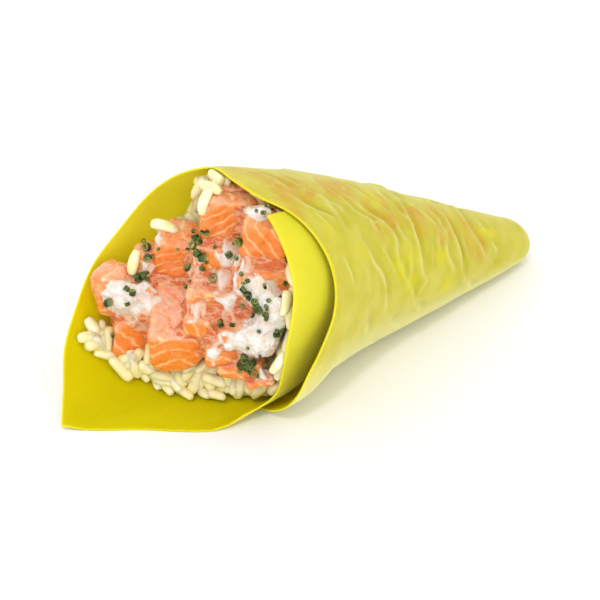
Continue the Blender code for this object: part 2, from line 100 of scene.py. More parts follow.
# folds where the sheet has buckled round the cone: height, width, ((angle, station), ...)
CREASES = (
    (0.60, 1.1, ((-12, 103.5), (5, 102), (26, 101), (33, 96), (50, 92))),
    (0.40, 0.8, ((24, 90.5), (42, 90.5), (57, 91.5), (70, 86))),
    (0.45, 0.8, ((18, 86), (26, 84.5), (34, 83.4), (45, 73.5))),
    (0.30, 0.7, ((2, 97), (16, 94), (30, 87))),
    (0.65, 1.1, ((20, 82), (34, 77.5), (45, 72.8), (72, 71), (92, 67.5), (112, 63))),
    (0.35, 0.7, ((40, 78), (58, 77), (74, 74))),
    (0.80, 1.2, ((-14, 58), (10, 59), (25, 60), (57, 62), (75, 62), (95, 58))),
    (0.35, 0.7, ((12, 66), (26, 64.5), (42, 61.5))),
    (0.40, 0.8, ((62, 56), (85, 59.2), (103, 63))),
    (0.30, 0.7, ((22, 53), (44, 50.5), (60, 52))),
    (0.75, 1.1, ((4, 42.5), (25, 43.4), (52, 44), (68, 43.4), (90, 42), (116, 37))),
    (0.35, 0.7, ((48, 47), (66, 48.5), (84, 47))),
    (0.65, 1.0, ((5, 32), (22, 33.2), (52, 34), (70, 32.4), (92, 28.5))),
    (0.25, 0.7, ((30, 26), (52, 26.5), (72, 24))),
    (0.35, 0.6, ((34, 98), (52, 96), (70, 95))),
    (0.30, 0.6, ((52, 86), (66, 82), (84, 80))),
    (0.35, 0.6, ((8, 76), (20, 73), (34, 68))),
    (0.30, 0.6, ((44, 67.5), (60, 66.5), (80, 66))),
    (0.35, 0.6, ((20, 48), (34, 47), (48, 49))),
    (0.30, 0.6, ((56, 39), (76, 38.5), (96, 35))),
    (0.35, 1.0, ((96, 90), (120, 84), (145, 74))),
    (0.30, 0.9, ((88, 80), (108, 77), (130, 68))),
    (0.55, 1.2, ((-25, 84), (-60, 80), (-95, 72), (-120, 70))),
    (0.50, 1.1, ((-15, 66), (-50, 63), (-85, 66), (-110, 62))),
    (0.35, 0.8, ((-35, 74), (-62, 71), (-90, 59))),
    (0.55, 1.1, ((-30, 50), (-70, 47), (-115, 50), (-140, 45))),
    (0.40, 0.9, ((-20, 36), (-60, 34), (-100, 30))),
    (0.40, 1.2, ((-70, 98), (-100, 92), (-130, 93))),
)
CREASE_SOFT = 1.25          # how much wider than in the table a crease is drawn
CREASE_FADE = 9.0           # angle over which a crease dies out at its ends
CREASE_VALLEY = 0.9         # depth of the hollow on its nose side over its height
CREASE_START = 100.0        # no bulges of the sheet beyond this station
# places where the sheet lies bare on itself and looks a stronger yellow: angle, station, strength
BRIGHT_SPOTS = ((48, 26, 0.9), (75, 71, 0.7), (60, 89, 0.7), (67, 66, 0.6), (88, 67, 0.6), (45, 96, 0.5),
                (72, 52, 0.5), (-40, 60, 0.6), (-70, 84, 0.6), (-90, 48, 0.6), (100, 50, 0.5), (20, 70, 0.4))
BULGE = 0.4
TINT_REACH = 2.6            # how near to the sheet a piece must lie to show through


def curve(where, table):
    """Smooth curve through (place, value) pairs."""
    places = np.array([pair[0] for pair in table], float)
    values = np.array([pair[1] for pair in table], float)
    where = np.asarray(where, float)
    slopes = np.gradient(values, places)
    i = np.clip(np.searchsorted(places, where, side="right") - 1, 0, len(places) - 2)
    width = places[i + 1] - places[i]
    u = np.clip((where - places[i]) / width, -0.2, 1.2)
    return ((2 * u**3 - 3 * u**2 + 1) * values[i] + (u**3 - 2 * u**2 + u) * width * slopes[i]
            + (3 * u**2 - 2 * u**3) * values[i + 1] + (u**3 - u**2) * width * slopes[i + 1])


def ease(u):
    """0 below 0, 1 above 1, smooth between."""
    u = np.clip(u, 0.0, 1.0)
    return u * u * (3.0 - 2.0 * u)


def from_top(angle):
    """The same angle between -180 and 180."""
    return (np.asarray(angle, float) + 180.0) % 360.0 - 180.0


def outline(angle, station):
    """Point on the outer surface of the roll."""
    station = np.asarray(station, float)
    half = curve(station, HALF_HEIGHT)
    tip = np.clip(1 - (station - NOSE_START) / NOSE_LENGTH, 0, 1)
    nose = np.sqrt(np.clip(1 - tip**2, 1e-4, 1))
    turned = from_top(angle)
    lift = RIM_LIFT * ease((station - 92) / 22) * ease((turned + 85) / 45) * ease((8 - turned) / 30)
    across, up = np.sin(np.radians(angle)), np.cos(np.radians(angle))
    near = across > 0
    square = np.where(near, NEAR_SQUARE * ease((station - 94) / 18), FAR_SQUARE * ease((station - 86) / 30))
    power = np.where(up < 0, 2.0 + square, 2.0)
    reach = (np.abs(across)**power + np.abs(up)**power)**(-1 / power)
    width = np.where(near, curve(station, NEAR_WIDTH), half * FAR_WIDTH)
    y = AXIS_Y - (width * nose + lift) * reach * across
    z = np.maximum(half * (1 - BASE_FLAT) + (half * nose + lift) * reach * up, 0.0)
    x = NOSE_X - station
    return np.stack(np.broadcast_arrays(x, y, z), -1)


def shell(angle, station, depth):
    """Point at a depth under the outer surface, measured square to it."""
    angle = np.asarray(angle, float)
    station = np.asarray(station, float)
    point = outline(angle, station)
    round_it = outline(angle + 0.5, station) - outline(angle - 0.5, station)
    along_it = outline(angle, station + 0.5) - outline(angle, np.maximum(station - 0.5, 0.02))
    normal = np.cross(round_it, along_it)
    normal /= np.maximum(np.linalg.norm(normal, axis=-1, keepdims=True), 1e-9)
    middle = (outline(0.0, station) + outline(180.0, station)) / 2
    outward = np.where(np.sum(normal * (point - middle), -1, keepdims=True) < 0, -1.0, 1.0)
    return point - normal * outward * np.asarray(depth, float)[..., None]


def flap_inset(angle, station):
    """Extra depth of the inner flap on the near side, growing to the rim."""
    u = np.clip((np.asarray(angle, float) - FLAP_TOP) / (FLAP_BOTTOM - FLAP_TOP), 0, 1)
    bulge = np.sin(math.pi * u**1.8)**1.5
    return FLAP_INSET * bulge * ease((station - FLAP_INSET_START) / FLAP_INSET_LENGTH)


def layer_depth(roll, station):
    """Depth of the sheet's outer face under the outer surface of the roll."""
    depth = ease((roll - TUCK_START) / TUCK_LENGTH) * (SHEET + LAYER_GAP)
    depth = np.where(roll <= TUCK_LOOSE, depth * (1 - ease((station - LOOSE_STATION) / LOOSE_LENGTH)), depth)
    return depth + np.where(roll > FLAP_START, flap_inset(SEAM + 360.0 - roll, station), 0.0)


# ---------------------------------------------------------------- general helpers
def wobble(points, size, seed=0.0):
    """Smooth noise between about -1 and 1 whose features are size mm across."""
    offset = Vector((seed * 17.3, seed * 5.1, seed * 9.7))
    return np.array([noise.noise(Vector(p) / size + offset) for p in points])


def srgb(red, green, blue):
    """Linear colour of an 8-bit display colour."""
    out = []
    for level in (red, green, blue):
        level /= 255.0
        out.append(level / 12.92 if level <= 0.04045 else ((level + 0.055) / 1.055)**2.4)
    return (*out, 1.0)


def mesh_object(name, points, faces, materials, slots=None):
    """Smooth mesh object from points in millimetres."""
    mesh = bpy.data.meshes.new(name)
    mesh.from_pydata((np.asarray(points, float) * MM).tolist(), [], [list(map(int, f)) for f in faces])
    for material in materials:
        mesh.materials.append(material)
    if slots is not None:
        mesh.polygons.foreach_set("material_index", np.asarray(slots, np.int32))
    mesh.shade_smooth()
    obj = bpy.data.objects.new(name, mesh)
    bpy.context.scene.collection.objects.link(obj)
    return obj


def paint(obj, name, values):
    """Store one number or one vector per vertex for the material to read."""
    values = np.asarray(values, np.float32)
    kind = "FLOAT" if values.ndim == 1 else "FLOAT_VECTOR"
    layer = obj.data.attributes.new(name, kind, "POINT")
    layer.data.foreach_set("value" if values.ndim == 1 else "vector", values.ravel())


def arrays_of(mesh):
    """Points in millimetres, faces and point normals of a mesh."""
    points = np.empty(len(mesh.vertices) * 3, np.float64)
    mesh.vertices.foreach_get("co", points)
    normals = np.empty(len(mesh.vertices) * 3, np.float64)
    mesh.vertices.foreach_get("normal", normals)
    return points.reshape(-1, 3) / MM, [tuple(p.vertices) for p in mesh.polygons], normals.reshape(-1, 3)


def remeshed(points, faces, voxel, rounds):
    """The same closed shape with even small faces, its edges rounded by smoothing."""
    work = mesh_object("work", points, faces, [])
    remesh = work.modifiers.new("remesh", "REMESH")
    remesh.mode = "VOXEL"
    remesh.voxel_size = voxel * MM
    smooth = work.modifiers.new("smooth", "SMOOTH")
    smooth.factor = 0.5
    smooth.iterations = rounds
    graph = bpy.context.evaluated_depsgraph_get()
    result = arrays_of(work.evaluated_get(graph).to_mesh())
    bpy.data.objects.remove(work, do_unlink=True)
    return result


def gathered(shapes):
    """Points and faces of several shapes as one."""
    faces, count = [], 0
    for points, shape_faces, _ in shapes:
        faces += [tuple(i + count for i in f) for f in shape_faces]
        count += len(points)
    return np.concatenate([shape[0] for shape in shapes]), faces


def tree_of_all(shapes):
    """Search tree of several shapes, in millimetres."""
    points, faces = gathered(shapes)
    return BVHTree.FromPolygons([tuple(p) for p in points], faces)


def adopt(obj, slot, *nodes):
    """Attach a finished piece to the body's empty and hide the parts it replaces."""
    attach(obj, BODY)
    if nodes:
        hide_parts(*nodes)
    return obj


# ---------------------------------------------------------------- materials
class Look:
    """A material in the making: each method adds a node and gives its output."""

    def __init__(self, name, **settings):
        self.material = bpy.data.materials.new(name)
        self.material.use_nodes = True
        self.tree = self.material.node_tree
        self.surface = self.tree.nodes["Principled BSDF"]
        for key, value in settings.items():
            self.surface.inputs[key.replace("_", " ")].default_value = value
        place = self.tree.nodes.new("ShaderNodeTexCoord").outputs["Object"]
        self.place = self.stretch(place, (1 / MM, 1 / MM, 1 / MM))

    def feed(self, socket, value):
        if isinstance(value, bpy.types.NodeSocket):
            self.tree.links.new(value, socket)
        elif value is not None:
            socket.default_value = value

    def stretch(self, vector, factors):
        node = self.tree.nodes.new("ShaderNodeVectorMath")
        node.operation = "MULTIPLY"
        self.feed(node.inputs[0], vector)
        self.feed(node.inputs[1], factors)
        return node.outputs[0]

    def attribute(self, name, vector=False):
        node = self.tree.nodes.new("ShaderNodeAttribute")
        node.attribute_name = name
        return node.outputs["Vector" if vector else "Fac"]

    def noise(self, size, detail=2.0, rough=0.5, vector=None):
        node = self.tree.nodes.new("ShaderNodeTexNoise")
        self.feed(node.inputs["Vector"], vector or self.place)
        node.inputs["Scale"].default_value = 1.0 / size
        node.inputs["Detail"].default_value = detail
        node.inputs["Roughness"].default_value = rough
        return node.outputs["Fac"]

    def cells(self, size, vector=None):
        node = self.tree.nodes.new("ShaderNodeTexVoronoi")
        self.feed(node.inputs["Vector"], vector or self.place)
        node.inputs["Scale"].default_value = 1.0 / size
        return node.outputs["Distance"]

    def calc(self, operation, first, second=None, third=None):
        node = self.tree.nodes.new("ShaderNodeMath")
        node.operation = operation
        for socket, value in zip(node.inputs, (first, second, third)):
            self.feed(socket, value)
        return node.outputs[0]

    def span(self, value, low, high, to_low=0.0, to_high=1.0):
        node = self.tree.nodes.new("ShaderNodeMapRange")
        node.interpolation_type = "SMOOTHSTEP"
        for socket, number in zip(node.inputs, (value, low, high, to_low, to_high)):
            self.feed(socket, number)
        return node.outputs[0]

    def mix(self, share, first, second):
        node = self.tree.nodes.new("ShaderNodeMix")
        node.data_type = "RGBA"
        self.feed(node.inputs[0], share)
        self.feed(node.inputs[6], first)
        self.feed(node.inputs[7], second)
        return node.outputs[2]

    def finish(self, colour, roughness=None, height=None, depth=0.1):
        self.feed(self.surface.inputs["Base Color"], colour)
        if roughness is not None:
            self.feed(self.surface.inputs["Roughness"], roughness)
        if height is not None:
            bump = self.tree.nodes.new("ShaderNodeBump")
            bump.inputs["Distance"].default_value = depth * MM
            self.feed(bump.inputs["Height"], height)
            self.feed(self.surface.inputs["Normal"], bump.outputs[0])
            self.feed(self.surface.inputs["Coat Normal"], bump.outputs[0])
        return self.material


def outside_material():
    """Outer side of the soy sheet: yellow-green with a pale bloom, partly painted light low on the sides, the filling
    showing through it; painted highlights on the crease ridges and the rim edge, painted shade in the crease hollows.
    """
    look = Look("sheet_outside", Subsurface_Weight=0.9, Subsurface_Radius=(1.0, 0.85, 0.15),
                Subsurface_Scale=0.0015, Specular_IOR_Level=0.2, Sheen_Weight=0.16, Sheen_Roughness=0.45)
    cloud = look.noise(7.0, 3.0)
    fine = look.noise(0.9, 3.0, 0.6)
    # painted highlight: a pale line along the crest of each crease, broken up by noise
    painted_ridge_highlight = look.calc("MULTIPLY", look.attribute("painted_ridge_highlight"), look.span(look.noise(6.0, 2.0), 0.25, 0.65, 0.1, 0.8))
    colour = look.mix(look.span(cloud, 0.25, 0.75), srgb(186, 175, 26), srgb(200, 188, 66))
    # painted shade: darker olive in the hollow beside each crease
    colour = look.mix(look.attribute("hollow"), colour, srgb(160, 152, 18))
    colour = look.mix(painted_ridge_highlight, colour, srgb(216, 206, 118))
    tint = look.calc("MULTIPLY", look.attribute("tint"), look.span(look.noise(4.0, 4.0, 0.6), 0.34, 0.52))
    flesh = look.mix(look.noise(3.0, 3.0), srgb(188, 146, 20), srgb(204, 158, 42))
    colour = look.mix(look.calc("MULTIPLY", tint, 0.95), colour, flesh)
    colour = look.mix(look.attribute("bright"), colour, srgb(210, 198, 2))
    # painted light: paler low on the sides of the roll, as if lit from the floor
    colour = look.mix(look.attribute("pale"), colour, srgb(222, 216, 140))
    colour = look.mix(look.attribute("flap"), colour, look.mix(cloud, srgb(208, 198, 24), srgb(218, 208, 38)))
    # painted highlight: a bright yellow line along the rim edge
    colour = look.mix(look.calc("MULTIPLY", look.attribute("edge"), 0.7), colour, srgb(228, 214, 48))
    rough = look.span(fine, 0.2, 0.8, 0.45, 0.65)
    return look.finish(colour, rough, look.calc("ADD", fine, look.calc("MULTIPLY", cloud, 2.0)), 0.1)


def inside_material():
    """Inner side of the soy sheet: a strong plain yellow with a faint mottle, with painted light on the upper inner
    wall, painted shade low on the far side and a painted highlight along the rim edge.
    """
    look = Look("sheet_inside", Subsurface_Weight=0.9, Subsurface_Radius=(1.0, 0.85, 0.1),
                Subsurface_Scale=0.0015, Specular_IOR_Level=0.04)
    cloud = look.noise(8.0, 3.0)
    fine = look.noise(1.0, 3.0, 0.6)
    colour = look.mix(cloud, srgb(200, 187, 0), srgb(210, 198, 2))
    colour = look.mix(look.span(fine, 0.3, 0.7, 0.0, 0.25), colour, srgb(214, 204, 30))
    # painted light: lighter on the upper inner wall towards the mouth
    colour = look.mix(look.attribute("painted_inner_light"), colour, srgb(234, 224, 60))
    # painted shade: darker low on the far side of the inner wall
    colour = look.mix(look.calc("MULTIPLY", look.attribute("shade"), 0.6), colour, srgb(186, 174, 0))
    # painted highlight: a bright yellow line along the rim edge
    colour = look.mix(look.calc("MULTIPLY", look.attribute("edge"), 0.6), colour, srgb(228, 214, 40))
    return look.finish(colour, look.span(fine, 0.2, 0.8, 0.5, 0.7), fine, 0.08)


def rice_material():
    """Moist cooked rice: cream white, each grain a tone of its own, with painted shade, darker and yellower, on the
    core between the grains.
    """
    look = Look("rice", Subsurface_Weight=0.4, Subsurface_Radius=(1.0, 0.85, 0.5), Subsurface_Scale=0.002,
                Specular_IOR_Level=0.5, Coat_Weight=0.35, Coat_Roughness=0.12)
    cloud = look.span(look.noise(2.6, 3.0), 0.3, 0.7)
    colour = look.mix(cloud, srgb(243, 230, 164), srgb(255, 249, 220))
    # tone: a random tone per grain; on the core between the grains it is full, a painted shade that is darker and
    # yellower
    colour = look.mix(look.calc("MULTIPLY", look.attribute("tone"), 0.7), colour, srgb(238, 221, 144))
    rough = look.span(look.noise(0.8, 2.0), 0.3, 0.7, 0.25, 0.45)
    return look.finish(colour, rough, look.noise(0.7, 3.0), 0.12)


def salmon_material():
    """Raw salmon: orange flesh in layers with pale curved fat lines, smeared and wet on top, with painted shade where
    the pieces touch, painted glints, and pale smears that are partly painted light on the up-facing faces.
    """
    look = Look("salmon", Subsurface_Weight=0.35, Subsurface_Radius=(1.0, 0.35, 0.12), Subsurface_Scale=0.002,
                Specular_IOR_Level=0.3, Coat_Weight=0.8, Coat_Roughness=0.06)
    flesh = look.attribute("flesh", vector=True)
    apart = look.tree.nodes.new("ShaderNodeSeparateXYZ")
    look.feed(apart.inputs[0], flesh)
    phase = look.calc("ADD", apart.outputs[0], look.span(look.noise(3.6, 2.0), 0.2, 0.8, -0.2, 0.2))
    wave = look.calc("PINGPONG", phase, 0.5)
    line = look.span(wave, 0.03, 0.16, 1.0, 0.0)
    line = look.calc("MULTIPLY", line, look.span(look.noise(3.5, 3.0), 0.28, 0.5))
    fibre = look.noise(1.0, 4.0, 0.65, look.stretch(flesh, (6.0, 1.3, 0.6)))
    base = look.mix(look.noise(6.0, 2.0), srgb(242, 108, 4), srgb(246, 140, 34))
    base = look.mix(look.span(fibre, 0.35, 0.7), base, srgb(247, 148, 48))
    # painted shade: a deeper red where a piece comes near another
    base = look.mix(look.calc("MULTIPLY", look.attribute("painted_contact_shade"), 0.8), base, srgb(214, 62, 10))
    # film: a pale smear of sauce, laid most on up-facing faces, where it is also painted light on the tops
    film = look.attribute("film")
    patch = look.calc("MULTIPLY", film, look.span(look.noise(2.4, 5.0, 0.7), 0.3, 0.54))
    pale = look.mix(look.noise(1.3, 3.0, 0.65), srgb(236, 140, 96), srgb(252, 214, 190))
    base = look.mix(look.calc("MULTIPLY", patch, 0.9), base, pale)
    # painted highlights: small white wet glints scattered over the smeared parts
    painted_glints = look.calc("MULTIPLY", look.span(look.cells(0.85), 0.08, 0.4, 1.0, 0.0), film)
    painted_glints = look.calc("MULTIPLY", painted_glints, look.span(look.noise(1.7, 3.0), 0.42, 0.6))
    base = look.mix(look.calc("MULTIPLY", painted_glints, 0.9), base, srgb(255, 238, 222))
    colour = look.mix(look.calc("MULTIPLY", line, 0.7), base, srgb(253, 206, 146))
    rough = look.span(look.noise(1.2, 2.0), 0.3, 0.7, 0.18, 0.4)
    relief = look.calc("ADD", look.calc("MULTIPLY", fibre, 0.8), look.noise(0.8, 4.0, 0.65))
    return look.finish(colour, rough, relief, 0.28)


def cream_material():
    """Soft cream: white where it is thick, pink where it is thin over the fish, and a deep red-orange flesh in the
    gaps between pieces, partly painted shade.
    """
    look = Look("cream", Subsurface_Weight=0.35, Subsurface_Radius=(1.0, 0.6, 0.4), Subsurface_Scale=0.0015,
                Specular_IOR_Level=0.5, Coat_Weight=0.4, Coat_Roughness=0.12)
    thick = look.mix(look.span(look.noise(2.2, 4.0, 0.6), 0.35, 0.65), srgb(246, 217, 198), srgb(255, 246, 236))
    thin = look.mix(look.noise(1.2, 3.0, 0.6), srgb(246, 164, 118), srgb(252, 216, 190))
    # the fish where the sauce sinks into the gaps between pieces, made a deeper red as painted shade
    flesh = look.mix(look.noise(2.0, 3.0, 0.6), srgb(222, 78, 12), srgb(242, 134, 60))
    streak = look.noise(2.4, 2.0, 0.5, look.stretch(look.place, (0.5, 0.5, 1.6)))
    vein = look.calc("ABSOLUTE", look.calc("SUBTRACT", streak, 0.5))
    flesh = look.mix(look.span(vein, 0.01, 0.08, 0.6, 0.0), flesh, srgb(252, 200, 158))
    grainy = look.span(look.cells(0.9), 0.08, 0.4, 1.0, 0.0)
    grainy = look.calc("MULTIPLY", grainy, look.span(look.noise(2.0, 3.0), 0.42, 0.6))
    flesh = look.mix(look.calc("MULTIPLY", grainy, 0.8), flesh, srgb(255, 224, 200))
    share = look.attribute("thin")
    colour = look.mix(look.span(share, 0.1, 0.6), thick, thin)
    colour = look.mix(look.span(share, 0.6, 1.0), colour, flesh)
    rough = look.span(look.noise(1.5, 2.0), 0.3, 0.7, 0.2, 0.4)
    return look.finish(colour, rough, look.noise(0.8, 4.0, 0.7), 0.45)


def chive_material():
    """Chopped chives: dark green skin, lighter cut edge."""
    look = Look("chive", Specular_IOR_Level=0.35, Coat_Weight=0.1, Coat_Roughness=0.2)
    cut = look.attribute("cut")
    skin = look.mix(look.span(look.noise(2.0, 2.0), 0.3, 0.7), srgb(20, 34, 4), srgb(92, 110, 28))
    colour = look.mix(cut, skin, srgb(160, 172, 96))
    return look.finish(colour, 0.35, look.noise(0.4, 1.0), 0.05)


# ---------------------------------------------------------------- the sheet
def crease_relief(angle, station):
    """Height of the folds, and how far a place lies on a ridge or in a hollow: the masks for the painted highlight on
    the ridges and the painted shade in the hollows.
    """
    turned = from_top(angle)
    height = np.zeros(np.shape(turned))
    ridge = np.zeros(np.shape(turned))
    hollow = np.zeros(np.shape(turned))
    for tall, width, line in CREASES:
        line = sorted(line)
        first, last = line[0][0], line[-1][0]
        window = ease((turned - first + CREASE_FADE) / CREASE_FADE) * ease((last + CREASE_FADE - turned) / CREASE_FADE)
        off = station - curve(np.clip(turned, first, last), line)
        width *= CREASE_SOFT
        crest = np.exp(-(off / width)**2) * window
        dip = np.exp(-((off + 2.0 * width) / (1.5 * width))**2) * window
        height += tall * (crest - CREASE_VALLEY * dip)
        ridge = np.maximum(ridge, crest)
        hollow = np.maximum(hollow, dip * (1 - crest) * tall)
    return height, ridge, hollow


def sheet_grid():
    """Roll angle and station of every point of the sheet's grid."""
    rolls = np.concatenate([np.arange(0.0, SHOWN_END, SHOWN_STEP), np.arange(SHOWN_END, TURN, COVERED_STEP), [TURN]])
    rolls[np.argmin(np.abs(rolls - CORNER))] = CORNER
    edge = np.where(rolls <= CORNER, curve(rolls, RIM_EDGE), curve(rolls, FLAP_EDGE))
    first = NOSE_START + (INNER_START - NOSE_START) * ease((rolls - FLAP_START) / FLAP_RUN)
    u = np.linspace(0.0, 1.0, SHEET_ROWS)
    along = u + 0.35 * (u**2 - u) * (1 - u)
    stations = first[:, None] + (edge - first)[:, None] * along[None, :]
    return np.repeat(rolls[:, None], SHEET_ROWS, 1), stations


def sheet_faces(lines, rows):
    """Faces of a closed skin: outer side, inner side and the rim between them."""
    count = lines * rows
    index = np.arange(count).reshape(lines, rows)
    a, b, c, d = index[:-1, :-1], index[:-1, 1:], index[1:, 1:], index[1:, :-1]
    outer = np.stack([a, d, c, b], -1).reshape(-1, 4)
    inner = np.stack([a, b, c, d], -1).reshape(-1, 4) + count
    loop = list(index[:, 0]) + list(index[-1, 1:]) + list(index[-2::-1, -1]) + list(index[0, -2:0:-1])
    rim = []
    for k, here in enumerate(loop):
        following = loop[(k + 1) % len(loop)]
        rim.append((here, here + count, following + count, following))
    return outer, inner, np.array(rim)


def make_sheet(shown_through):
    """The soy sheet with its folds, tinted by the pieces in the tree shown_through; returns its inner side."""
    roll, station = sheet_grid()
    angle = SEAM - roll
    depth = layer_depth(roll, station)
    base = outline(angle, station).reshape(-1, 3)
    drift = wobble(base, 9.0, 5.0).reshape(roll.shape) * 1.9 + wobble(base, 4.0, 6.0).reshape(roll.shape) * 0.3
    fickle = ease((wobble(base, 7.0, 7.0).reshape(roll.shape) + 0.45) / 0.7)
    height, ridge, hollow = (part * fickle for part in crease_relief(angle, station + drift))
    calm = ease((CREASE_START - station) / 18.0) * ease((station - 4.0) / 14.0)
    under = ease((150.0 - np.abs(from_top(angle))) / 20.0)
    bulge = wobble(base, 11.0, 1.0).reshape(roll.shape) * BULGE + wobble(base, 4.5, 2.0).reshape(roll.shape) * 0.18
    rise = height * under * ease((106.0 - station) / 6.0) + bulge * calm * under
    sway = wobble(base, 24.0, 3.0).reshape(roll.shape) * ease((station - 98.0) / 20.0) * under
    rise = rise + 0.35 * sway
    outer = shell(angle, station, depth - rise)
    inner = shell(angle, station, depth - rise + VISIBLE_SHEET)
    lines, rows = roll.shape
    faces = np.concatenate(sheet_faces(lines, rows))
    points = np.concatenate([outer.reshape(-1, 3), inner.reshape(-1, 3)])
    slots = np.where(np.arange(len(faces)) < (lines - 1) * (rows - 1), 0, 1)
    obj = mesh_object("sheet", points, faces, [outside_material(), inside_material()], slots)
    obj.data.set_sharp_from_angle(angle=math.radians(50))
    tint = np.zeros(roll.shape)
    flat = outer.reshape(-1, 3)
    near = [shown_through.find_nearest(Vector(p), 12.0)[3] for p in flat]
    away = np.array([12.0 if d is None else d for d in near]).reshape(roll.shape)
    tint = (1 - ease((away - 1.2) / TINT_REACH)) * ease((116.0 - station) / 6.0)
    bright = np.zeros(roll.shape)
    for middle, place, strength in BRIGHT_SPOTS:
        gone = ((from_top(angle) - middle) / 9.0)**2 + ((station - place) / 3.5)**2
        bright = np.maximum(bright, strength * np.exp(-gone) * (0.6 + 0.8 * fickle))
    bright = np.clip(bright, 0, 1)
    # painted highlight along the rim edge, on both faces of the sheet
    edge = ease((station - (station[:, -1:] - 0.8)) / 0.5)
    bare = ease((roll - 352.0) / 12.0) * ease((station - 96.0) / 10.0)
    flap = np.where(roll > FLAP_START, bare, 0.0)
    turned = from_top(angle)
    # painted light on the upper inner wall towards the mouth
    painted_inner_light = ease((turned + 108) / 30.0) * ease((10.0 - turned) / 30.0) * ease((station - 92.0) / 12.0)
    # painted light: the outer face is paler low on both sides, where the floor lights it
    pale = 0.8 * ease((np.abs(turned) - 98.0) / 34.0)
    # painted shade low on the far side of the inner wall
    shade = ease((turned + 176.0) / 24.0) * ease((-104.0 - turned) / 20.0)
    # the ridge mask carries the painted highlight on the crease crests, the hollow mask the painted shade beside them
    values = {"painted_inner_light": (0 * painted_inner_light, painted_inner_light), "shade": (0 * shade, shade), "pale": (pale, 0 * pale), "tint": (tint, 0 * tint), "painted_ridge_highlight": (ridge, 0 * ridge), "hollow": (hollow, 0 * hollow),
              "edge": (edge, edge), "flap": (flap, 0 * flap), "bright": (bright, 0 * bright)}
    for name, (out, back) in values.items():
        paint(obj, name, np.concatenate([out.ravel(), back.ravel()]))
    adopt(obj, "sheet", "wrap")
    side = (lines - 1) * (rows - 1)
    return points, [tuple(f) for f in faces[side:2 * side]], None


# ---------------------------------------------------------------- the rice
GRAIN_LENGTH = 7.8
GRAIN_WIDTH = 3.3
GRAIN_RINGS = 11
GRAIN_SIDES = 12
GRAIN_SPACING = 2.9
SETTLE_ROUNDS = 6
WALL_GAP = 0.1
FRONT_STATION = 104.0
CORE_SHRINK = 1.1
RICE_EDGE = ((-200, 117), (-190, 120), (-180, 123.5), (-164, 129), (-155, 131), (-146, 135.5), (-134, 137),
             (-126, 138), (-116, 128), (-106, 113), (-88, 108), (-60, 106), (-40, 108))
EDGE_FIRST = -197.0
EDGE_LAST = -112.0
EDGE_STEP = 5.4
# rows of grains: behind the rice's edge, height of their middle, most they turn from straight out
EDGE_ROWS = ((-0.8, 1.7, 110.0), (-3.2, 3.8, 100.0), (-6.0, 5.6, 90.0))
# grains that stand out: piece, right, up from its middle, direction, height of its middle
SINGLE_GRAINS = (
    ("salmon_15", -2.2, -0.9, 72, 0.9), ("salmon_04", -4.4, 6.4, 115, 1.3), ("salmon_16", -5.3, 3.0, 140, 1.0),
    ("salmon_04", -5.3, 4.0, 60, 1.2), ("salmon_04", -7.2, 6.6, 130, 1.2), ("salmon_04", -2.4, 7.4, 30, 1.2),
    ("salmon_02", -3.6, 5.2, 150, 0.8), ("salmon_02", -6.4, 4.8, 115, 1.2), ("salmon_02", -0.2, 8.6, 165, 1.2),
    ("salmon_02", 2.2, 8.6, 100, 1.2), ("salmon_12", -8.0, -1.1, 170, 1.3), ("salmon_12", -9.6, -3.6, 200, 1.3),
    ("salmon_12", -5.3, -5.2, 155, 1.4), ("salmon_12", -10.4, 0.6, 135, 1.3), ("salmon_12", -7.6, -2.8, 230, 2.4),
    ("salmon_12", -7.0, -6.8, 180, 1.3), ("salmon_12", -11.5, -1.8, 190, 1.3), ("salmon_07", 5.2, -6.6, 70, 0.9),
    ("salmon_07", 6.0, -9.6, 110, 0.9), ("salmon_09", 11.2, 0.1, 60, 0.9), ("salmon_09", 9.6, -3.2, 120, 0.9),
    ("salmon_14", 6.1, 8.6, 80, 0.9), ("salmon_14", 4.2, 6.2, 150, 0.9), ("salmon_14", 6.2, 4.4, 60, 0.9),
)


def grain(chooser, length=GRAIN_LENGTH):
    """One cooked grain along +X: a bent, slightly lumpy ellipsoid with blunt ends."""
    length *= chooser.uniform(0.86, 1.12)
    width = GRAIN_WIDTH * chooser.uniform(0.88, 1.1)
    flat = chooser.uniform(0.8, 0.95)
    bend = chooser.uniform(0.1, 0.9)
    notch = chooser.uniform(-0.09, 0.03)
    taper = chooser.uniform(-0.14, 0.14)
    lumps = [(chooser.uniform(0.02, 0.07), chooser.uniform(0, 6.28)) for _ in range(3)]
    points = [(-length / 2, 0.0, 0.0)]
    for j in range(1, GRAIN_RINGS):
        t = math.pi * j / GRAIN_RINGS
        along = -math.cos(t)
        wide = width / 2 * math.sin(t)**0.5 * (1 - notch * math.sin(3 * t) + taper * along)
        for i in range(GRAIN_SIDES):
            a = 2 * math.pi * i / GRAIN_SIDES
            out = wide * (1 + sum(size * math.sin((k + 1) * a + start + 2 * t) for k, (size, start) in enumerate(lumps)))
            points.append((along * length / 2, out * math.cos(a), out * flat * math.sin(a) - bend * along**2))
    points.append((length / 2, 0.0, 0.0))
    faces = [(0, 1 + (i + 1) % GRAIN_SIDES, 1 + i) for i in range(GRAIN_SIDES)]
    for j in range(GRAIN_RINGS - 2):
        for i in range(GRAIN_SIDES):
            a, b = 1 + j * GRAIN_SIDES + i, 1 + j * GRAIN_SIDES + (i + 1) % GRAIN_SIDES
            faces.append((a, b, b + GRAIN_SIDES, a + GRAIN_SIDES))
    last, start = len(points) - 1, 1 + (GRAIN_RINGS - 2) * GRAIN_SIDES
    faces += [(start + i, start + (i + 1) % GRAIN_SIDES, last) for i in range(GRAIN_SIDES)]
    return np.array(points), faces


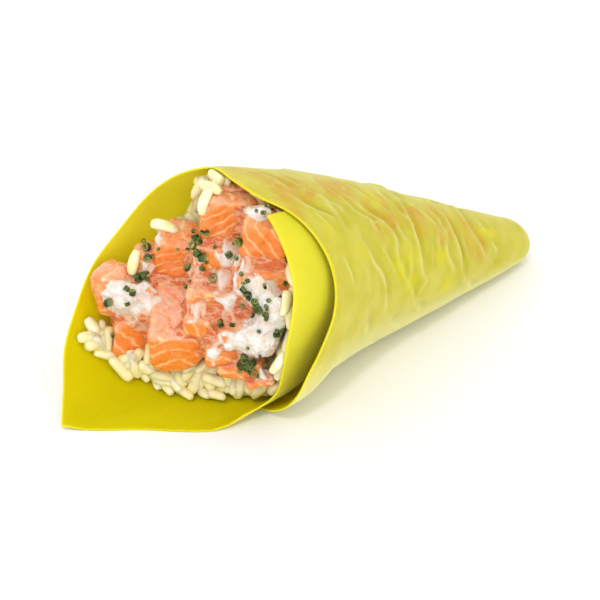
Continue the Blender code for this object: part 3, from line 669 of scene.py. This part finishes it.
def frame_along(direction, up):
    """Rotation whose x runs along direction and whose z is as near up as it can be."""
    x = Vector(direction).normalized()
    y = Vector(up).cross(x)
    if y.length < 1e-4:
        y = Vector((0, 1, 0)).cross(x)
    y.normalize()
    return Matrix((x, y, x.cross(y))).transposed()


class Heap:
    """Many small closed shapes gathered into one mesh."""

    def __init__(self):
        self.points = []
        self.faces = []
        self.marks = []
        self.count = 0

    def add(self, points, faces, turn, centre, marks=None):
        placed = points @ np.array(turn).T + np.array(centre)
        self.points.append(placed)
        self.faces += [tuple(i + self.count for i in f) for f in faces]
        self.marks.append(np.zeros(len(points)) if marks is None else marks)
        self.count += len(points)


def front_samples(points, faces, chooser, spacing):
    """Points with normals scattered over the part of the rice that faces the mouth."""
    samples = []
    for face in faces:
        corners = [Vector(points[i]) for i in face]
        for k in range(1, len(corners) - 1):
            a, b, c = corners[0], corners[k], corners[k + 1]
            cross = (b - a).cross(c - a)
            area = cross.length / 2
            if area < 1e-6:
                continue
            normal = cross.normalized()
            middle = (a + b + c) / 3
            if normal.x > -0.15 or NOSE_X - middle.x < FRONT_STATION:
                continue
            wanted = area / spacing**2
            number = int(wanted) + (chooser.random() < wanted - int(wanted))
            for _ in range(number):
                u, v = chooser.random(), chooser.random()
                if u + v > 1:
                    u, v = 1 - u, 1 - v
                samples.append((a + (b - a) * u + (c - a) * v, normal))
    return samples


def blocked(tree, point, reach):
    """Whether a point lies inside a shape or nearer to it than reach."""
    hit, normal, _, away = tree.find_nearest(Vector(point))
    if hit is None:
        return False
    return away < reach or (Vector(point) - hit).dot(normal) < 0


def recede(angle):
    """How far the rice lies behind its solid's front, beside the bare wall at the upper far side."""
    turned = from_top(angle)
    return 6.0 * ease((turned + 84) / 8) * ease((-34 - turned) / 8)


def angle_round(point):
    """Angle from the top of a place in the roll."""
    half = curve(NOSE_X - point[..., 0], HALF_HEIGHT)
    return np.degrees(np.arctan2(-(point[..., 1] - AXIS_Y), point[..., 2] - half * (1 - BASE_FLAT)))


def rice_core(points, faces, wall, material):
    """What shows between the grains: the rice solid, drawn back a little and bumpy."""
    core_points, core_faces, normals = remeshed(points, faces, 1.1, 2)
    front = ease((NOSE_X - core_points[:, 0] - 96.0) / 8.0)
    bumps = wobble(core_points, 2.6, 4.0) * 0.7
    core_points = core_points - normals * (front * (CORE_SHRINK - bumps))[:, None]
    core_points[:, 0] += recede(angle_round(core_points)) * front
    core = mesh_object("rice_core", inside(core_points, wall), core_faces, [material])
    # painted shade: the core between the grains takes the full darker, yellower tone
    paint(core, "tone", np.ones(len(core_points)))
    return adopt(core, "rice", "rice")


def front_grains(points, faces, chooser):
    """Grains lying about on the front of the rice."""
    for point, normal in front_samples(points, faces, chooser, GRAIN_SPACING):
        centre = point + normal * chooser.uniform(-0.4, 0.8)
        centre.x += float(recede(angle_round(np.array(centre))))
        tangent = normal.orthogonal().normalized()
        tangent.rotate(Matrix.Rotation(chooser.uniform(0, 2 * math.pi), 3, normal))
        yield centre, (tangent + normal * chooser.uniform(-0.35, 0.35)).normalized(), normal


def edge_grains(chooser):
    """Rows of grains along the foot of the rice, lying on the open petal and pointing outwards."""
    for back, rise, turn in EDGE_ROWS:
        angle = EDGE_FIRST
        while angle < EDGE_LAST:
            station = float(curve(angle, RICE_EDGE)) + back + chooser.uniform(-1.5, 1.5)
            centre = Vector(shell(angle, station, SHEET + rise))
            ahead = Vector(shell(angle, station + 3.0, SHEET + rise)) - centre
            inward = (Vector(shell(angle, station, SHEET + rise + 1.0)) - centre).normalized()
            aside = chooser.choice((-1, 1)) * chooser.uniform(turn / 2, turn)
            ahead.rotate(Matrix.Rotation(math.radians(aside), 3, inward))
            direction = (ahead.normalized() + inward * chooser.uniform(-0.1, 0.25)).normalized()
            yield centre, direction, inward
            angle += EDGE_STEP * chooser.uniform(0.8, 1.2)


def single_grains(trees):
    """The grains that stand out, each laid on what is under it."""
    for name, right, up, spin, lift in SINGLE_GRAINS:
        hits = [place for place in (on_heap(tree, name, right, up) for tree in trees) if place[0] is not None]
        hit, normal = max(hits, key=lambda place: place[0].dot(VIEW_FROM))
        if normal.dot(VIEW_FROM) < 0:
            normal = -normal
        direction = VIEW_RIGHT * math.cos(math.radians(spin)) + VIEW_UP * math.sin(math.radians(spin))
        direction = (direction - normal * direction.dot(normal) * 0.85).normalized()
        yield hit + normal * lift, direction, normal


def inside(points, wall):
    """The points, each one that lies outside the sheet moved back to its inner face."""
    moved = []
    for point in points:
        hit, normal, _, _ = wall.find_nearest(Vector(point))
        gap = (Vector(point) - hit).dot(normal)
        moved.append(point if gap > WALL_GAP else point + np.array(normal) * (WALL_GAP - gap))
    return np.array(moved)


def settled(points, wall):
    """Points of a grain, moved so that it stays inside the sheet."""
    for _ in range(SETTLE_ROUNDS):
        worst, push = 0.0, None
        for point in points:
            hit, normal, _, _ = wall.find_nearest(Vector(point))
            gap = (Vector(point) - hit).dot(normal)
            if gap < worst:
                worst, push = gap, normal * (WALL_GAP - gap)
        if push is None:
            break
        points = points + np.array(push)
    return points


def add_grain(heap, chooser, turn, centre):
    """One more grain in the heap, with a tone of its own."""
    points, faces = grain(chooser)
    heap.add(points, faces, turn, centre, np.full(len(points), chooser.uniform(0.1, 0.9)))


def make_rice(filling_tree, sheet_tree):
    """A bumpy core and real grains over its front."""
    material = rice_material()
    points, faces, _ = arrays_of(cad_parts["rice"].data)
    rice_core(points, faces, sheet_tree, material)
    chooser = random.Random(11)
    heap = Heap()
    for centre, direction, normal in list(edge_grains(chooser)) + list(front_grains(points, faces, chooser)):
        ends = [centre + direction * GRAIN_LENGTH * 0.45, centre - direction * GRAIN_LENGTH * 0.45]
        if blocked(filling_tree, centre, 0.9) or any(blocked(filling_tree, end, 0.2) for end in ends):
            continue
        if any(outside_roll(end) for end in ends):
            continue
        add_grain(heap, chooser, frame_along(direction, normal), centre)
    for centre, direction, normal in single_grains((filling_tree, sheet_tree)):
        add_grain(heap, chooser, frame_along(direction, normal), centre)
    heap.points = [settled(points, sheet_tree) for points in heap.points]
    grains = mesh_object("rice_grains", np.concatenate(heap.points), heap.faces, [material])
    paint(grains, "tone", np.concatenate(heap.marks))
    return adopt(grains, "rice")


def outside_roll(point):
    """Whether a point is outside the inner face of the rolled sheet."""
    station = NOSE_X - point[0]
    half = float(curve(station, HALF_HEIGHT))
    offset = (point[1] - AXIS_Y, point[2] - half * (1 - BASE_FLAT))
    angle = math.degrees(math.atan2(-offset[0], offset[1]))
    depth = SHEET + float(flap_inset(angle, station)) + (LAYER_GAP + SHEET if angle > 6 else 0.0) + 0.6
    wall = shell(angle, station, depth)
    reach = math.hypot(wall[1] - AXIS_Y, wall[2] - half * (1 - BASE_FLAT))
    return math.hypot(*offset) > reach


# ---------------------------------------------------------------- the salmon
SALMON_VOXEL = 0.5
HEAP_AWAY = (0.6652, 0.7466, 0.0)
HALF_DEPTH = 8.0
CONTACT_SHADE_REACH = 2.2            # how near another piece must be for the painted shade where they touch
# how strongly each piece is smeared pale on its up-facing faces: partly a real smear of sauce, partly painted light on
# its top
SMEAR_AND_TOP_LIGHT = {"salmon_01": 1.0, "salmon_18": 0.6, "salmon_03": 0.65, "salmon_04": 0.7, "salmon_06": 0.35,
           "salmon_07": 0.45, "salmon_02": 0.5}
RISE_BACK = {"salmon_01": 0.34}     # how steeply a piece's top rises towards the back
FAT_SPACING = 2.7
# how the flesh runs in each piece: yaw, pitch, bend of its fat lines
GRAINS = {
    "salmon_01": (6, 66, 0.045), "salmon_02": (-60, 32, 0.030), "salmon_03": (70, 30, 0.040),
    "salmon_04": (-62, 38, 0.020), "salmon_05": (60, 60, 0.030), "salmon_06": (62, 62, 0.035),
    "salmon_07": (-20, 70, 0.030), "salmon_08": (5, 50, 0.040), "salmon_09": (-15, 60, 0.030),
}


def refine_piece(name, index, material):
    """One piece of salmon: rounded, a little uneven, with the coordinates of its flesh."""
    points, faces, _ = arrays_of(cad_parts[name].data)
    points, faces, normals = remeshed(points, faces, SALMON_VOXEL, 5)
    swell = 0.25 + wobble(points, 5.0, index) * 0.7 + wobble(points, 2.0, index + 40) * 0.3
    middle = (points.min(0) + points.max(0)) / 2
    share = (points[:, 2] - points[:, 2].min()) / np.ptp(points[:, 2])
    points[:, 2] += RISE_BACK.get(name, 0.0) * share * ((points - middle) @ np.array(HEAP_AWAY) + HALF_DEPTH)
    yaw, pitch, bend = GRAINS.get(name, (index * 47 % 90, 35 + index * 31 % 40, 0.035))
    turn = Matrix.Rotation(math.radians(yaw - 41.7), 3, "Z") @ Matrix.Rotation(math.radians(pitch), 3, "X")
    local = (points - middle) @ np.array(turn)
    phase = (local[:, 2] + bend * local[:, 0]**2) / FAT_SPACING + index * 0.37
    groove = -0.07 * np.exp(-((np.abs((phase + 0.5) % 1.0 - 0.5)) / 0.09)**2)
    points = points + normals * (swell + groove)[:, None]
    obj = mesh_object(name + "_flesh", points, faces, [material])
    paint(obj, "flesh", np.stack([phase, local[:, 0], local[:, 1]], -1))
    # the pale smear lies most on up-facing faces, where it is also painted light on the tops
    lit = ease((normals[:, 2] - 0.05) / 0.7)
    smear_and_top_light = SMEAR_AND_TOP_LIGHT.get(name, 0.65)
    paint(obj, "film", np.clip(lit * smear_and_top_light + 0.4 * wobble(points, 5.0, index + 7), 0, 1))
    adopt(obj, "salmon", name)
    return obj, (points, faces, normals)


def paint_contact_shade(obj, points, others):
    """Mark where a piece comes near the others, for the painted shade, a deeper red, along the contacts."""
    near = np.array([others.find_nearest(Vector(p))[3] for p in points])
    paint(obj, "painted_contact_shade", 1 - ease(near / CONTACT_SHADE_REACH))


def make_salmon():
    """Every piece; returns the shapes of those in the mouth and of those under the sheet."""
    material = salmon_material()
    names = sorted(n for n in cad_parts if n.startswith("salmon_"))
    made = [refine_piece(name, index, material) for index, name in enumerate(names)]
    shapes = [shape for _, shape in made]
    for number, (obj, shape) in enumerate(made):
        paint_contact_shade(obj, shape[0], tree_of_all(shapes[:number] + shapes[number + 1:]))
    shown = [shape for name, shape in zip(names, shapes) if name < "salmon_20"]
    covered = [shape for name, shape in zip(names, shapes) if name > "salmon_20"]
    return shown, covered


# ---------------------------------------------------------------- the cream and the sauce
VIEW_FROM = Vector((-0.5761, -0.6466, 0.5))
VIEW_RIGHT = Vector((0.7466, -0.6652, 0.0))
VIEW_UP = VIEW_FROM.cross(VIEW_RIGHT)
# thin sauce on the pieces: piece, right, up from its middle, radius, thickness
SAUCE = (
    ("salmon_18", 0.4, -0.4, 4.2, 1.2), ("salmon_03", 2.6, -2.2, 4.4, 1.15), ("salmon_03", -3.0, 1.0, 2.6, 0.5),
    ("salmon_01", -8.8, 8.0, 4.0, 1.2), ("salmon_01", -9.0, 3.0, 4.0, 1.1), ("salmon_01", -8.0, -2.5, 3.0, 0.9),
    ("salmon_01", 4.3, 8.5, 2.0, 0.8), ("salmon_01", 4.0, 1.0, 3.0, 0.6), ("salmon_01", -3.0, 5.0, 2.5, 0.6),
    ("salmon_08", -6.0, -3.0, 3.5, 0.8), ("salmon_08", 1.0, 4.5, 4.0, 1.0), ("salmon_08", 6.0, 0.0, 5.0, 1.3),
    ("salmon_08", 1.0, -2.5, 3.5, 0.9), ("salmon_09", 0.0, 2.5, 4.0, 0.9), ("salmon_09", 5.0, -3.0, 6.0, 1.5),
    ("salmon_10", 4.5, -4.0, 3.0, 1.2), ("salmon_11", 1.5, 2.0, 4.0, 1.2), ("salmon_11", -2.5, -1.5, 3.0, 0.9),
    ("salmon_07", -6.0, 2.5, 3.5, 1.1), ("salmon_07", -3.5, -5.0, 3.5, 1.0), ("salmon_07", 4.0, -8.5, 3.0, 1.0),
    ("salmon_16", 5.5, 0.0, 4.0, 1.1), ("salmon_16", 8.5, -3.0, 3.0, 0.9), ("salmon_06", -6.0, 0.5, 2.5, 0.7),
    ("salmon_13", 2.0, 2.0, 4.0, 1.2), ("salmon_13", 6.0, 1.0, 4.0, 1.1), ("salmon_14", 2.0, 0.5, 3.0, 0.8),
    ("salmon_06", -1.8, -3.8, 0.4, 1.1), ("salmon_06", 0.0, -7.0, 0.5, 1.1),
    ("salmon_05", 3.5, -1.0, 3.5, 1.1), ("salmon_17", 3.0, 0.5, 3.5, 1.1), ("salmon_17", -3.0, -1.0, 2.5, 0.9),
    ("salmon_12", 1.5, 3.0, 3.4, 0.7), ("salmon_02", 5.0, -4.0, 3.0, 1.0), ("salmon_02", -5.5, 2.0, 2.5, 0.7),
    ("salmon_04", 4.5, 0.5, 3.0, 0.45), ("salmon_15", 0.0, -3.0, 3.0, 1.0),
)
GAP_FILL = 1.8
# hollows closed by sauce: piece, right, up and forward from its middle, radius
FILLERS = (
    ("salmon_05", 5.3, -2.0, 2.0, 4.5), ("salmon_05", 8.0, 0.5, 1.0, 4.0), ("salmon_01", -9.5, 8.0, 2.0, 4.5),
    ("salmon_01", -9.0, 2.0, 4.0, 4.0), ("salmon_11", -3.0, 4.5, 1.0, 3.5), ("salmon_08", -7.0, -0.5, 1.0, 4.0),
    ("salmon_12", 5.0, 2.0, 1.0, 4.0), ("salmon_02", -7.5, -3.0, 1.0, 4.0), ("salmon_08", 0.0, 0.0, -3.0, 7.0),
    ("salmon_09", -3.0, 4.0, -3.0, 7.0), ("salmon_05", 3.0, -3.0, -3.5, 7.0), ("salmon_07", 0.0, -4.0, -3.0, 6.5),
    ("salmon_09", 3.0, 7.0, -2.0, 6.5), ("salmon_10", 0.0, 4.0, -3.0, 6.0), ("salmon_13", 0.0, 3.0, -3.0, 5.0),
    ("salmon_03", 6.0, -1.0, -3.0, 6.0), ("salmon_15", 4.0, -4.0, -3.0, 6.0), ("salmon_05", 5.0, 5.0, -3.0, 6.0),
)
SKIN_SINK = 0.3
SKIN_VOXEL = 0.6


def beside(name, right, up):
    """Place to the right of and above the middle of a piece, as the heap faces."""
    low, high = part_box(name)
    return (Vector(low) + Vector(high)) / 2 / MM + VIEW_RIGHT * right + VIEW_UP * up


def on_heap(tree, name, right, up):
    """Point and normal on the heap in front of such a place."""
    hit, normal, _, _ = tree.ray_cast(beside(name, right, up) + VIEW_FROM * 90.0, -VIEW_FROM)
    return hit, normal


def make_cream(fish_tree, material):
    """The thick dollops, pink where they thin out over the fish."""
    shapes = []
    for index, name in enumerate(sorted(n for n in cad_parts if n.startswith("cream_"))):
        points, faces, _ = arrays_of(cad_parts[name].data)
        points, faces, normals = remeshed(points, faces, 0.5, 8)
        lumps = wobble(points, 3.2, index + 20) * 0.9 + wobble(points, 1.3, index + 30) * 0.3 - 0.3
        points = points + normals * lumps[:, None]
        obj = mesh_object(name + "_soft", points, faces, [material])
        over_fish = np.array([fish_tree.find_nearest(Vector(p))[3] for p in points])
        paint(obj, "thin", np.clip(0.5 * wobble(points, 4.0, index + 60) + 0.7 * (1 - ease(over_fish / 1.2)), 0, 0.75))
        adopt(obj, "cream", name)
        shapes.append((points, faces, normals))
    return shapes


def filler(name, right, up, forward, radius):
    """A ball of sauce that closes a hollow between pieces."""
    ball = bmesh.new()
    bmesh.ops.create_icosphere(ball, subdivisions=3, radius=radius)
    centre = beside(name, right, up) + VIEW_FROM * forward
    points = np.array([v.co + centre for v in ball.verts])
    faces = [tuple(v.index for v in f.verts) for f in ball.faces]
    ball.free()
    return points, faces, None


def make_sauce(shapes, dollops, material):
    """A thin uneven film of cream over the heap, which also fills the gaps between the pieces."""
    tree = tree_of_all(shapes)
    cream_tree = tree_of_all(dollops)
    swollen = [(points + normals * GAP_FILL, faces, normals) for points, faces, normals in shapes]
    points, faces = gathered(swollen + [filler(*place) for place in FILLERS])
    skin, skin_faces, normals = remeshed(points, faces, SKIN_VOXEL, 5)
    thickness = np.zeros(len(skin))
    for name, right, up, radius, thick in SAUCE:
        hit, _ = on_heap(tree, name, right, up)
        if hit is not None:
            away = np.linalg.norm(skin - np.array(hit), axis=1) / (radius + GAP_FILL)
            thickness = np.maximum(thickness, thick * (1 - away**2))
    patchy = wobble(skin, 3.2, 50) * 0.7 + wobble(skin, 1.3, 51) * 0.5
    lift = thickness * (0.75 + patchy) + patchy * 0.3 - SKIN_SINK
    skin = skin + normals * (np.minimum(lift, 0.8) - GAP_FILL)[:, None]
    facing = (normals[:, 0] < 0.4) & (NOSE_X - skin[:, 0] > 101.0)
    kept = [f for f in skin_faces if all(facing[i] for i in f)]
    used = sorted({i for f in kept for i in f})
    renumber = {old: new for new, old in enumerate(used)}
    obj = mesh_object("sauce", skin[used], [[renumber[i] for i in f] for f in kept], [material])
    # thin is 1 where the skin sinks into the gaps, which take the deep red flesh colour, partly painted shade
    thin = 1.0 - ease((lift[used] + 0.1) / 0.6)
    from_cream = np.array([cream_tree.find_nearest(Vector(p))[3] for p in skin[used]])
    paint(obj, "thin", np.minimum(thin, ease((from_cream - 0.8) / 1.6)))
    solid = obj.modifiers.new("thickness", "SOLIDIFY")
    solid.thickness = 0.35 * MM
    solid.offset = -1.0
    adopt(obj, "cream")
    return skin[used], [[renumber[i] for i in f] for f in kept], normals[used]


# ---------------------------------------------------------------- the chives
# piece, right, up from its middle, diameter, length, lean, spin
CHIVES = (
    ("salmon_18", -0.5, 3.2, 2.4, 1.6, 60, 20), ("salmon_18", 0.8, 4.2, 2.2, 2.6, 80, 110),
    ("salmon_03", 0.0, -3.7, 2.4, 2.2, 75, 70), ("salmon_18", -1.6, -0.3, 2.2, 1.4, 30, 0),
    ("salmon_15", 1.0, 2.4, 2.4, 2.2, 70, 160), ("salmon_15", 1.3, 0.3, 2.2, 1.6, 40, 40),
    ("salmon_05", -4.2, 2.6, 2.6, 1.8, 35, 30), ("salmon_05", -4.4, 1.0, 2.5, 1.4, 20, 80),
    ("salmon_05", -2.6, -1.8, 2.6, 2.0, 55, 130), ("salmon_17", -4.5, 0.8, 2.8, 1.2, 12, 0),
    ("salmon_05", 4.5, -1.8, 2.4, 1.5, 50, 60), ("salmon_06", -6.0, -2.1, 2.6, 1.6, 45, 20),
    ("salmon_08", -1.3, 3.4, 2.6, 1.2, 15, 50), ("salmon_07", -4.0, -4.0, 2.6, 1.2, 10, 30),
    ("salmon_07", -1.6, -7.4, 2.4, 2.4, 80, 140), ("salmon_07", 5.2, -5.8, 2.7, 1.3, 20, 10),
    ("salmon_07", 8.7, -2.4, 2.5, 2.2, 70, 80), ("salmon_07", 8.2, -0.3, 2.4, 2.0, 60, 120),
    ("salmon_13", 1.6, 0.6, 2.6, 2.6, 70, 10), ("salmon_13", 3.0, 0.2, 2.6, 2.0, 40, 60),
    ("salmon_13", 7.2, -0.2, 2.5, 2.2, 60, 150), ("salmon_13", 9.0, -1.6, 2.3, 1.8, 70, 30),
    ("salmon_14", -1.6, 1.8, 2.4, 1.4, 30, 90), ("salmon_11", -0.3, 5.8, 2.2, 1.2, 40, 20),
    ("salmon_12", -4.2, -1.5, 1.0, 4.6, 88, 95), ("salmon_16", 5.0, -1.5, 2.2, 1.6, 50, 30),
    ("salmon_16", 7.4, -1.8, 2.0, 1.2, 30, 70), ("salmon_02", 7.0, 3.8, 1.3, 0.8, 20, 0),
    ("salmon_14", 4.4, 13.2, 1.6, 1.2, 50, 40), ("salmon_07", 7.0, -8.8, 1.2, 3.0, 85, 20),
    ("salmon_07", -2.2, -5.7, 1.8, 1.4, 60, 70), ("salmon_09", 4.4, 3.8, 1.8, 2.0, 75, 20),
    ("salmon_09", 6.0, 2.5, 1.6, 2.4, 85, 120), ("salmon_14", 2.4, 3.9, 2.4, 2.8, 75, 140),
    ("salmon_14", 4.0, 2.6, 2.2, 2.2, 60, 150), ("salmon_13", 0.5, 1.2, 2.6, 2.8, 70, 100),
    ("salmon_13", 2.3, 0.4, 2.6, 2.6, 65, 40), ("salmon_09", 8.6, -2.0, 1.6, 2.4, 85, 60),
    ("salmon_07", -5.2, -3.0, 1.6, 1.8, 80, 10), ("salmon_05", -3.4, -0.4, 2.2, 1.8, 60, 20),
)
CHIVE_SIDES = 14
CHIVE_SCALE = 0.86
CRUMBS = 2
CHIVE_WALL = 0.3


def chive_ring(diameter, length):
    """A short piece of hollow leaf along +Z, its cut ends marked."""
    outer, inner = diameter / 2, diameter / 2 - CHIVE_WALL
    profile = ((outer, -0.5), (outer * 1.02, 0.0), (outer, 0.5), (inner, 0.5), (inner * 0.98, 0.0), (inner, -0.5))
    points, marks = [], []
    for i in range(CHIVE_SIDES):
        a = 2 * math.pi * i / CHIVE_SIDES
        for k, (radius, level) in enumerate(profile):
            points.append((radius * math.cos(a) * 1.08, radius * math.sin(a) * 0.9, level * length))
            marks.append(1.0 if k >= 3 else 0.0)
    faces = []
    for i in range(CHIVE_SIDES):
        j = (i + 1) % CHIVE_SIDES
        for k in range(6):
            m = (k + 1) % 6
            faces.append((i * 6 + k, j * 6 + k, j * 6 + m, i * 6 + m))
    return np.array(points), faces, np.array(marks)


def make_chives(tree):
    """Rings and short tubes of chive lying on the filling."""
    heap = Heap()
    chooser = random.Random(5)
    crumbs = [(name, right + chooser.gauss(0, 2.4), up + chooser.gauss(0, 2.0), chooser.uniform(0.9, 1.6),
               chooser.uniform(0.4, 1.6), chooser.uniform(0, 85), chooser.uniform(0, 360))
              for name, right, up, *_ in CHIVES for _ in range(CRUMBS)]
    for name, right, up, diameter, length, lean, spin in (*CHIVES, *crumbs):
        hit, normal = on_heap(tree, name, right, up)
        if hit is None:
            continue
        if normal.dot(VIEW_FROM) < 0:
            normal = -normal
        side = normal.orthogonal().normalized()
        side.rotate(Matrix.Rotation(math.radians(spin), 3, normal))
        axis = (normal * math.cos(math.radians(lean)) + side * math.sin(math.radians(lean))).normalized()
        turn = Matrix((axis.orthogonal().normalized(), axis.cross(axis.orthogonal().normalized()), axis)).transposed()
        rest = CHIVE_SCALE * diameter / 2 * math.sin(math.radians(lean)) + length / 2 * CHIVE_SCALE * math.cos(math.radians(lean))
        points, faces, marks = chive_ring(diameter * CHIVE_SCALE, length * CHIVE_SCALE)
        heap.add(points, faces, turn, hit + normal * (rest * 0.75), marks)
    obj = mesh_object("chives", np.concatenate(heap.points), heap.faces, [chive_material()])
    obj.data.set_sharp_from_angle(angle=math.radians(50))
    paint(obj, "cut", np.concatenate(heap.marks))
    return adopt(obj, "salmon")


# ---------------------------------------------------------------- the studio
CAMERA_TARGET = (NOSE_X - 68.436, AXIS_Y + 23.964, 0.0)
CAMERA_HEADING = 41.7
CAMERA_ELEVATION = 30.0
CAMERA_DISTANCE = 700.0
CAMERA_LENS = 146.22


def make_camera():
    """The photograph's viewing angle."""
    heading, rise = math.radians(CAMERA_HEADING), math.radians(CAMERA_ELEVATION)
    forward = Vector((math.cos(rise) * math.sin(heading), math.cos(rise) * math.cos(heading), -math.sin(rise)))
    camera = bpy.data.objects.new("camera", bpy.data.cameras.new("camera"))
    camera.data.lens = CAMERA_LENS
    camera.data.sensor_width = 36.0
    camera.data.clip_start = 0.01
    camera.data.clip_end = 50.0
    camera.location = (Vector(CAMERA_TARGET) - forward * CAMERA_DISTANCE) * MM
    camera.rotation_euler = forward.to_track_quat("-Z", "Y").to_euler()
    bpy.context.scene.collection.objects.link(camera)
    bpy.context.scene.camera = camera


def make_lamp(name, place, size, power, colour=(1.0, 1.0, 1.0)):
    """A soft square lamp aimed at the roll."""
    lamp = bpy.data.objects.new(name, bpy.data.lights.new(name, "AREA"))
    lamp.data.size = size
    lamp.data.energy = power
    lamp.data.color = colour
    lamp.location = place
    lamp.rotation_euler = (Vector((0.0, 0.0, 0.03)) - Vector(place)).to_track_quat("-Z", "Y").to_euler()
    bpy.context.scene.collection.objects.link(lamp)


def make_studio():
    """White world, pale floor and soft lamps."""
    scene = bpy.context.scene
    world = bpy.data.worlds.new("studio")
    scene.world = world
    world.use_nodes = True
    world.node_tree.nodes["Background"].inputs["Color"].default_value = (1.0, 1.0, 1.0, 1.0)
    world.node_tree.nodes["Background"].inputs["Strength"].default_value = 1.0
    scene.view_settings.view_transform = "Standard"
    make_lamp("key", (-0.55, -0.40, 0.80), 0.10, 2.3)
    make_lamp("fill", (0.2, -0.9, 0.35), 0.5, 1.2)
    make_lamp("back", (0.1, 0.7, 0.8), 0.6, 0.8)
    make_lamp("low", (-0.50, -0.95, 0.10), 0.5, 1.0)
    look = Look("floor")
    material = look.finish(look.mix(look.noise(60.0, 2.0), (0.90, 0.90, 0.895, 1.0), (0.93, 0.93, 0.925, 1.0)), 0.8)
    size = 2500.0
    corners = [(-size, -size, -0.05), (size, -size, -0.05), (size, size, -0.05), (-size, size, -0.05)]
    floor = mesh_object("floor", corners, [(0, 1, 2, 3)], [material])


# ---------------------------------------------------------------- put together
def main():
    make_camera()
    make_studio()
    salmon, covered = make_salmon()
    cream = cream_material()
    dollops = make_cream(tree_of_all(salmon), cream)
    pieces = salmon + dollops
    pieces_tree = tree_of_all(pieces)
    sauce = make_sauce(pieces, dollops, cream)
    filling_tree = tree_of_all(pieces + [sauce])
    make_chives(filling_tree)
    sheet = make_sheet(tree_of_all(covered + salmon))
    make_rice(pieces_tree, tree_of_all([sheet]))


main()
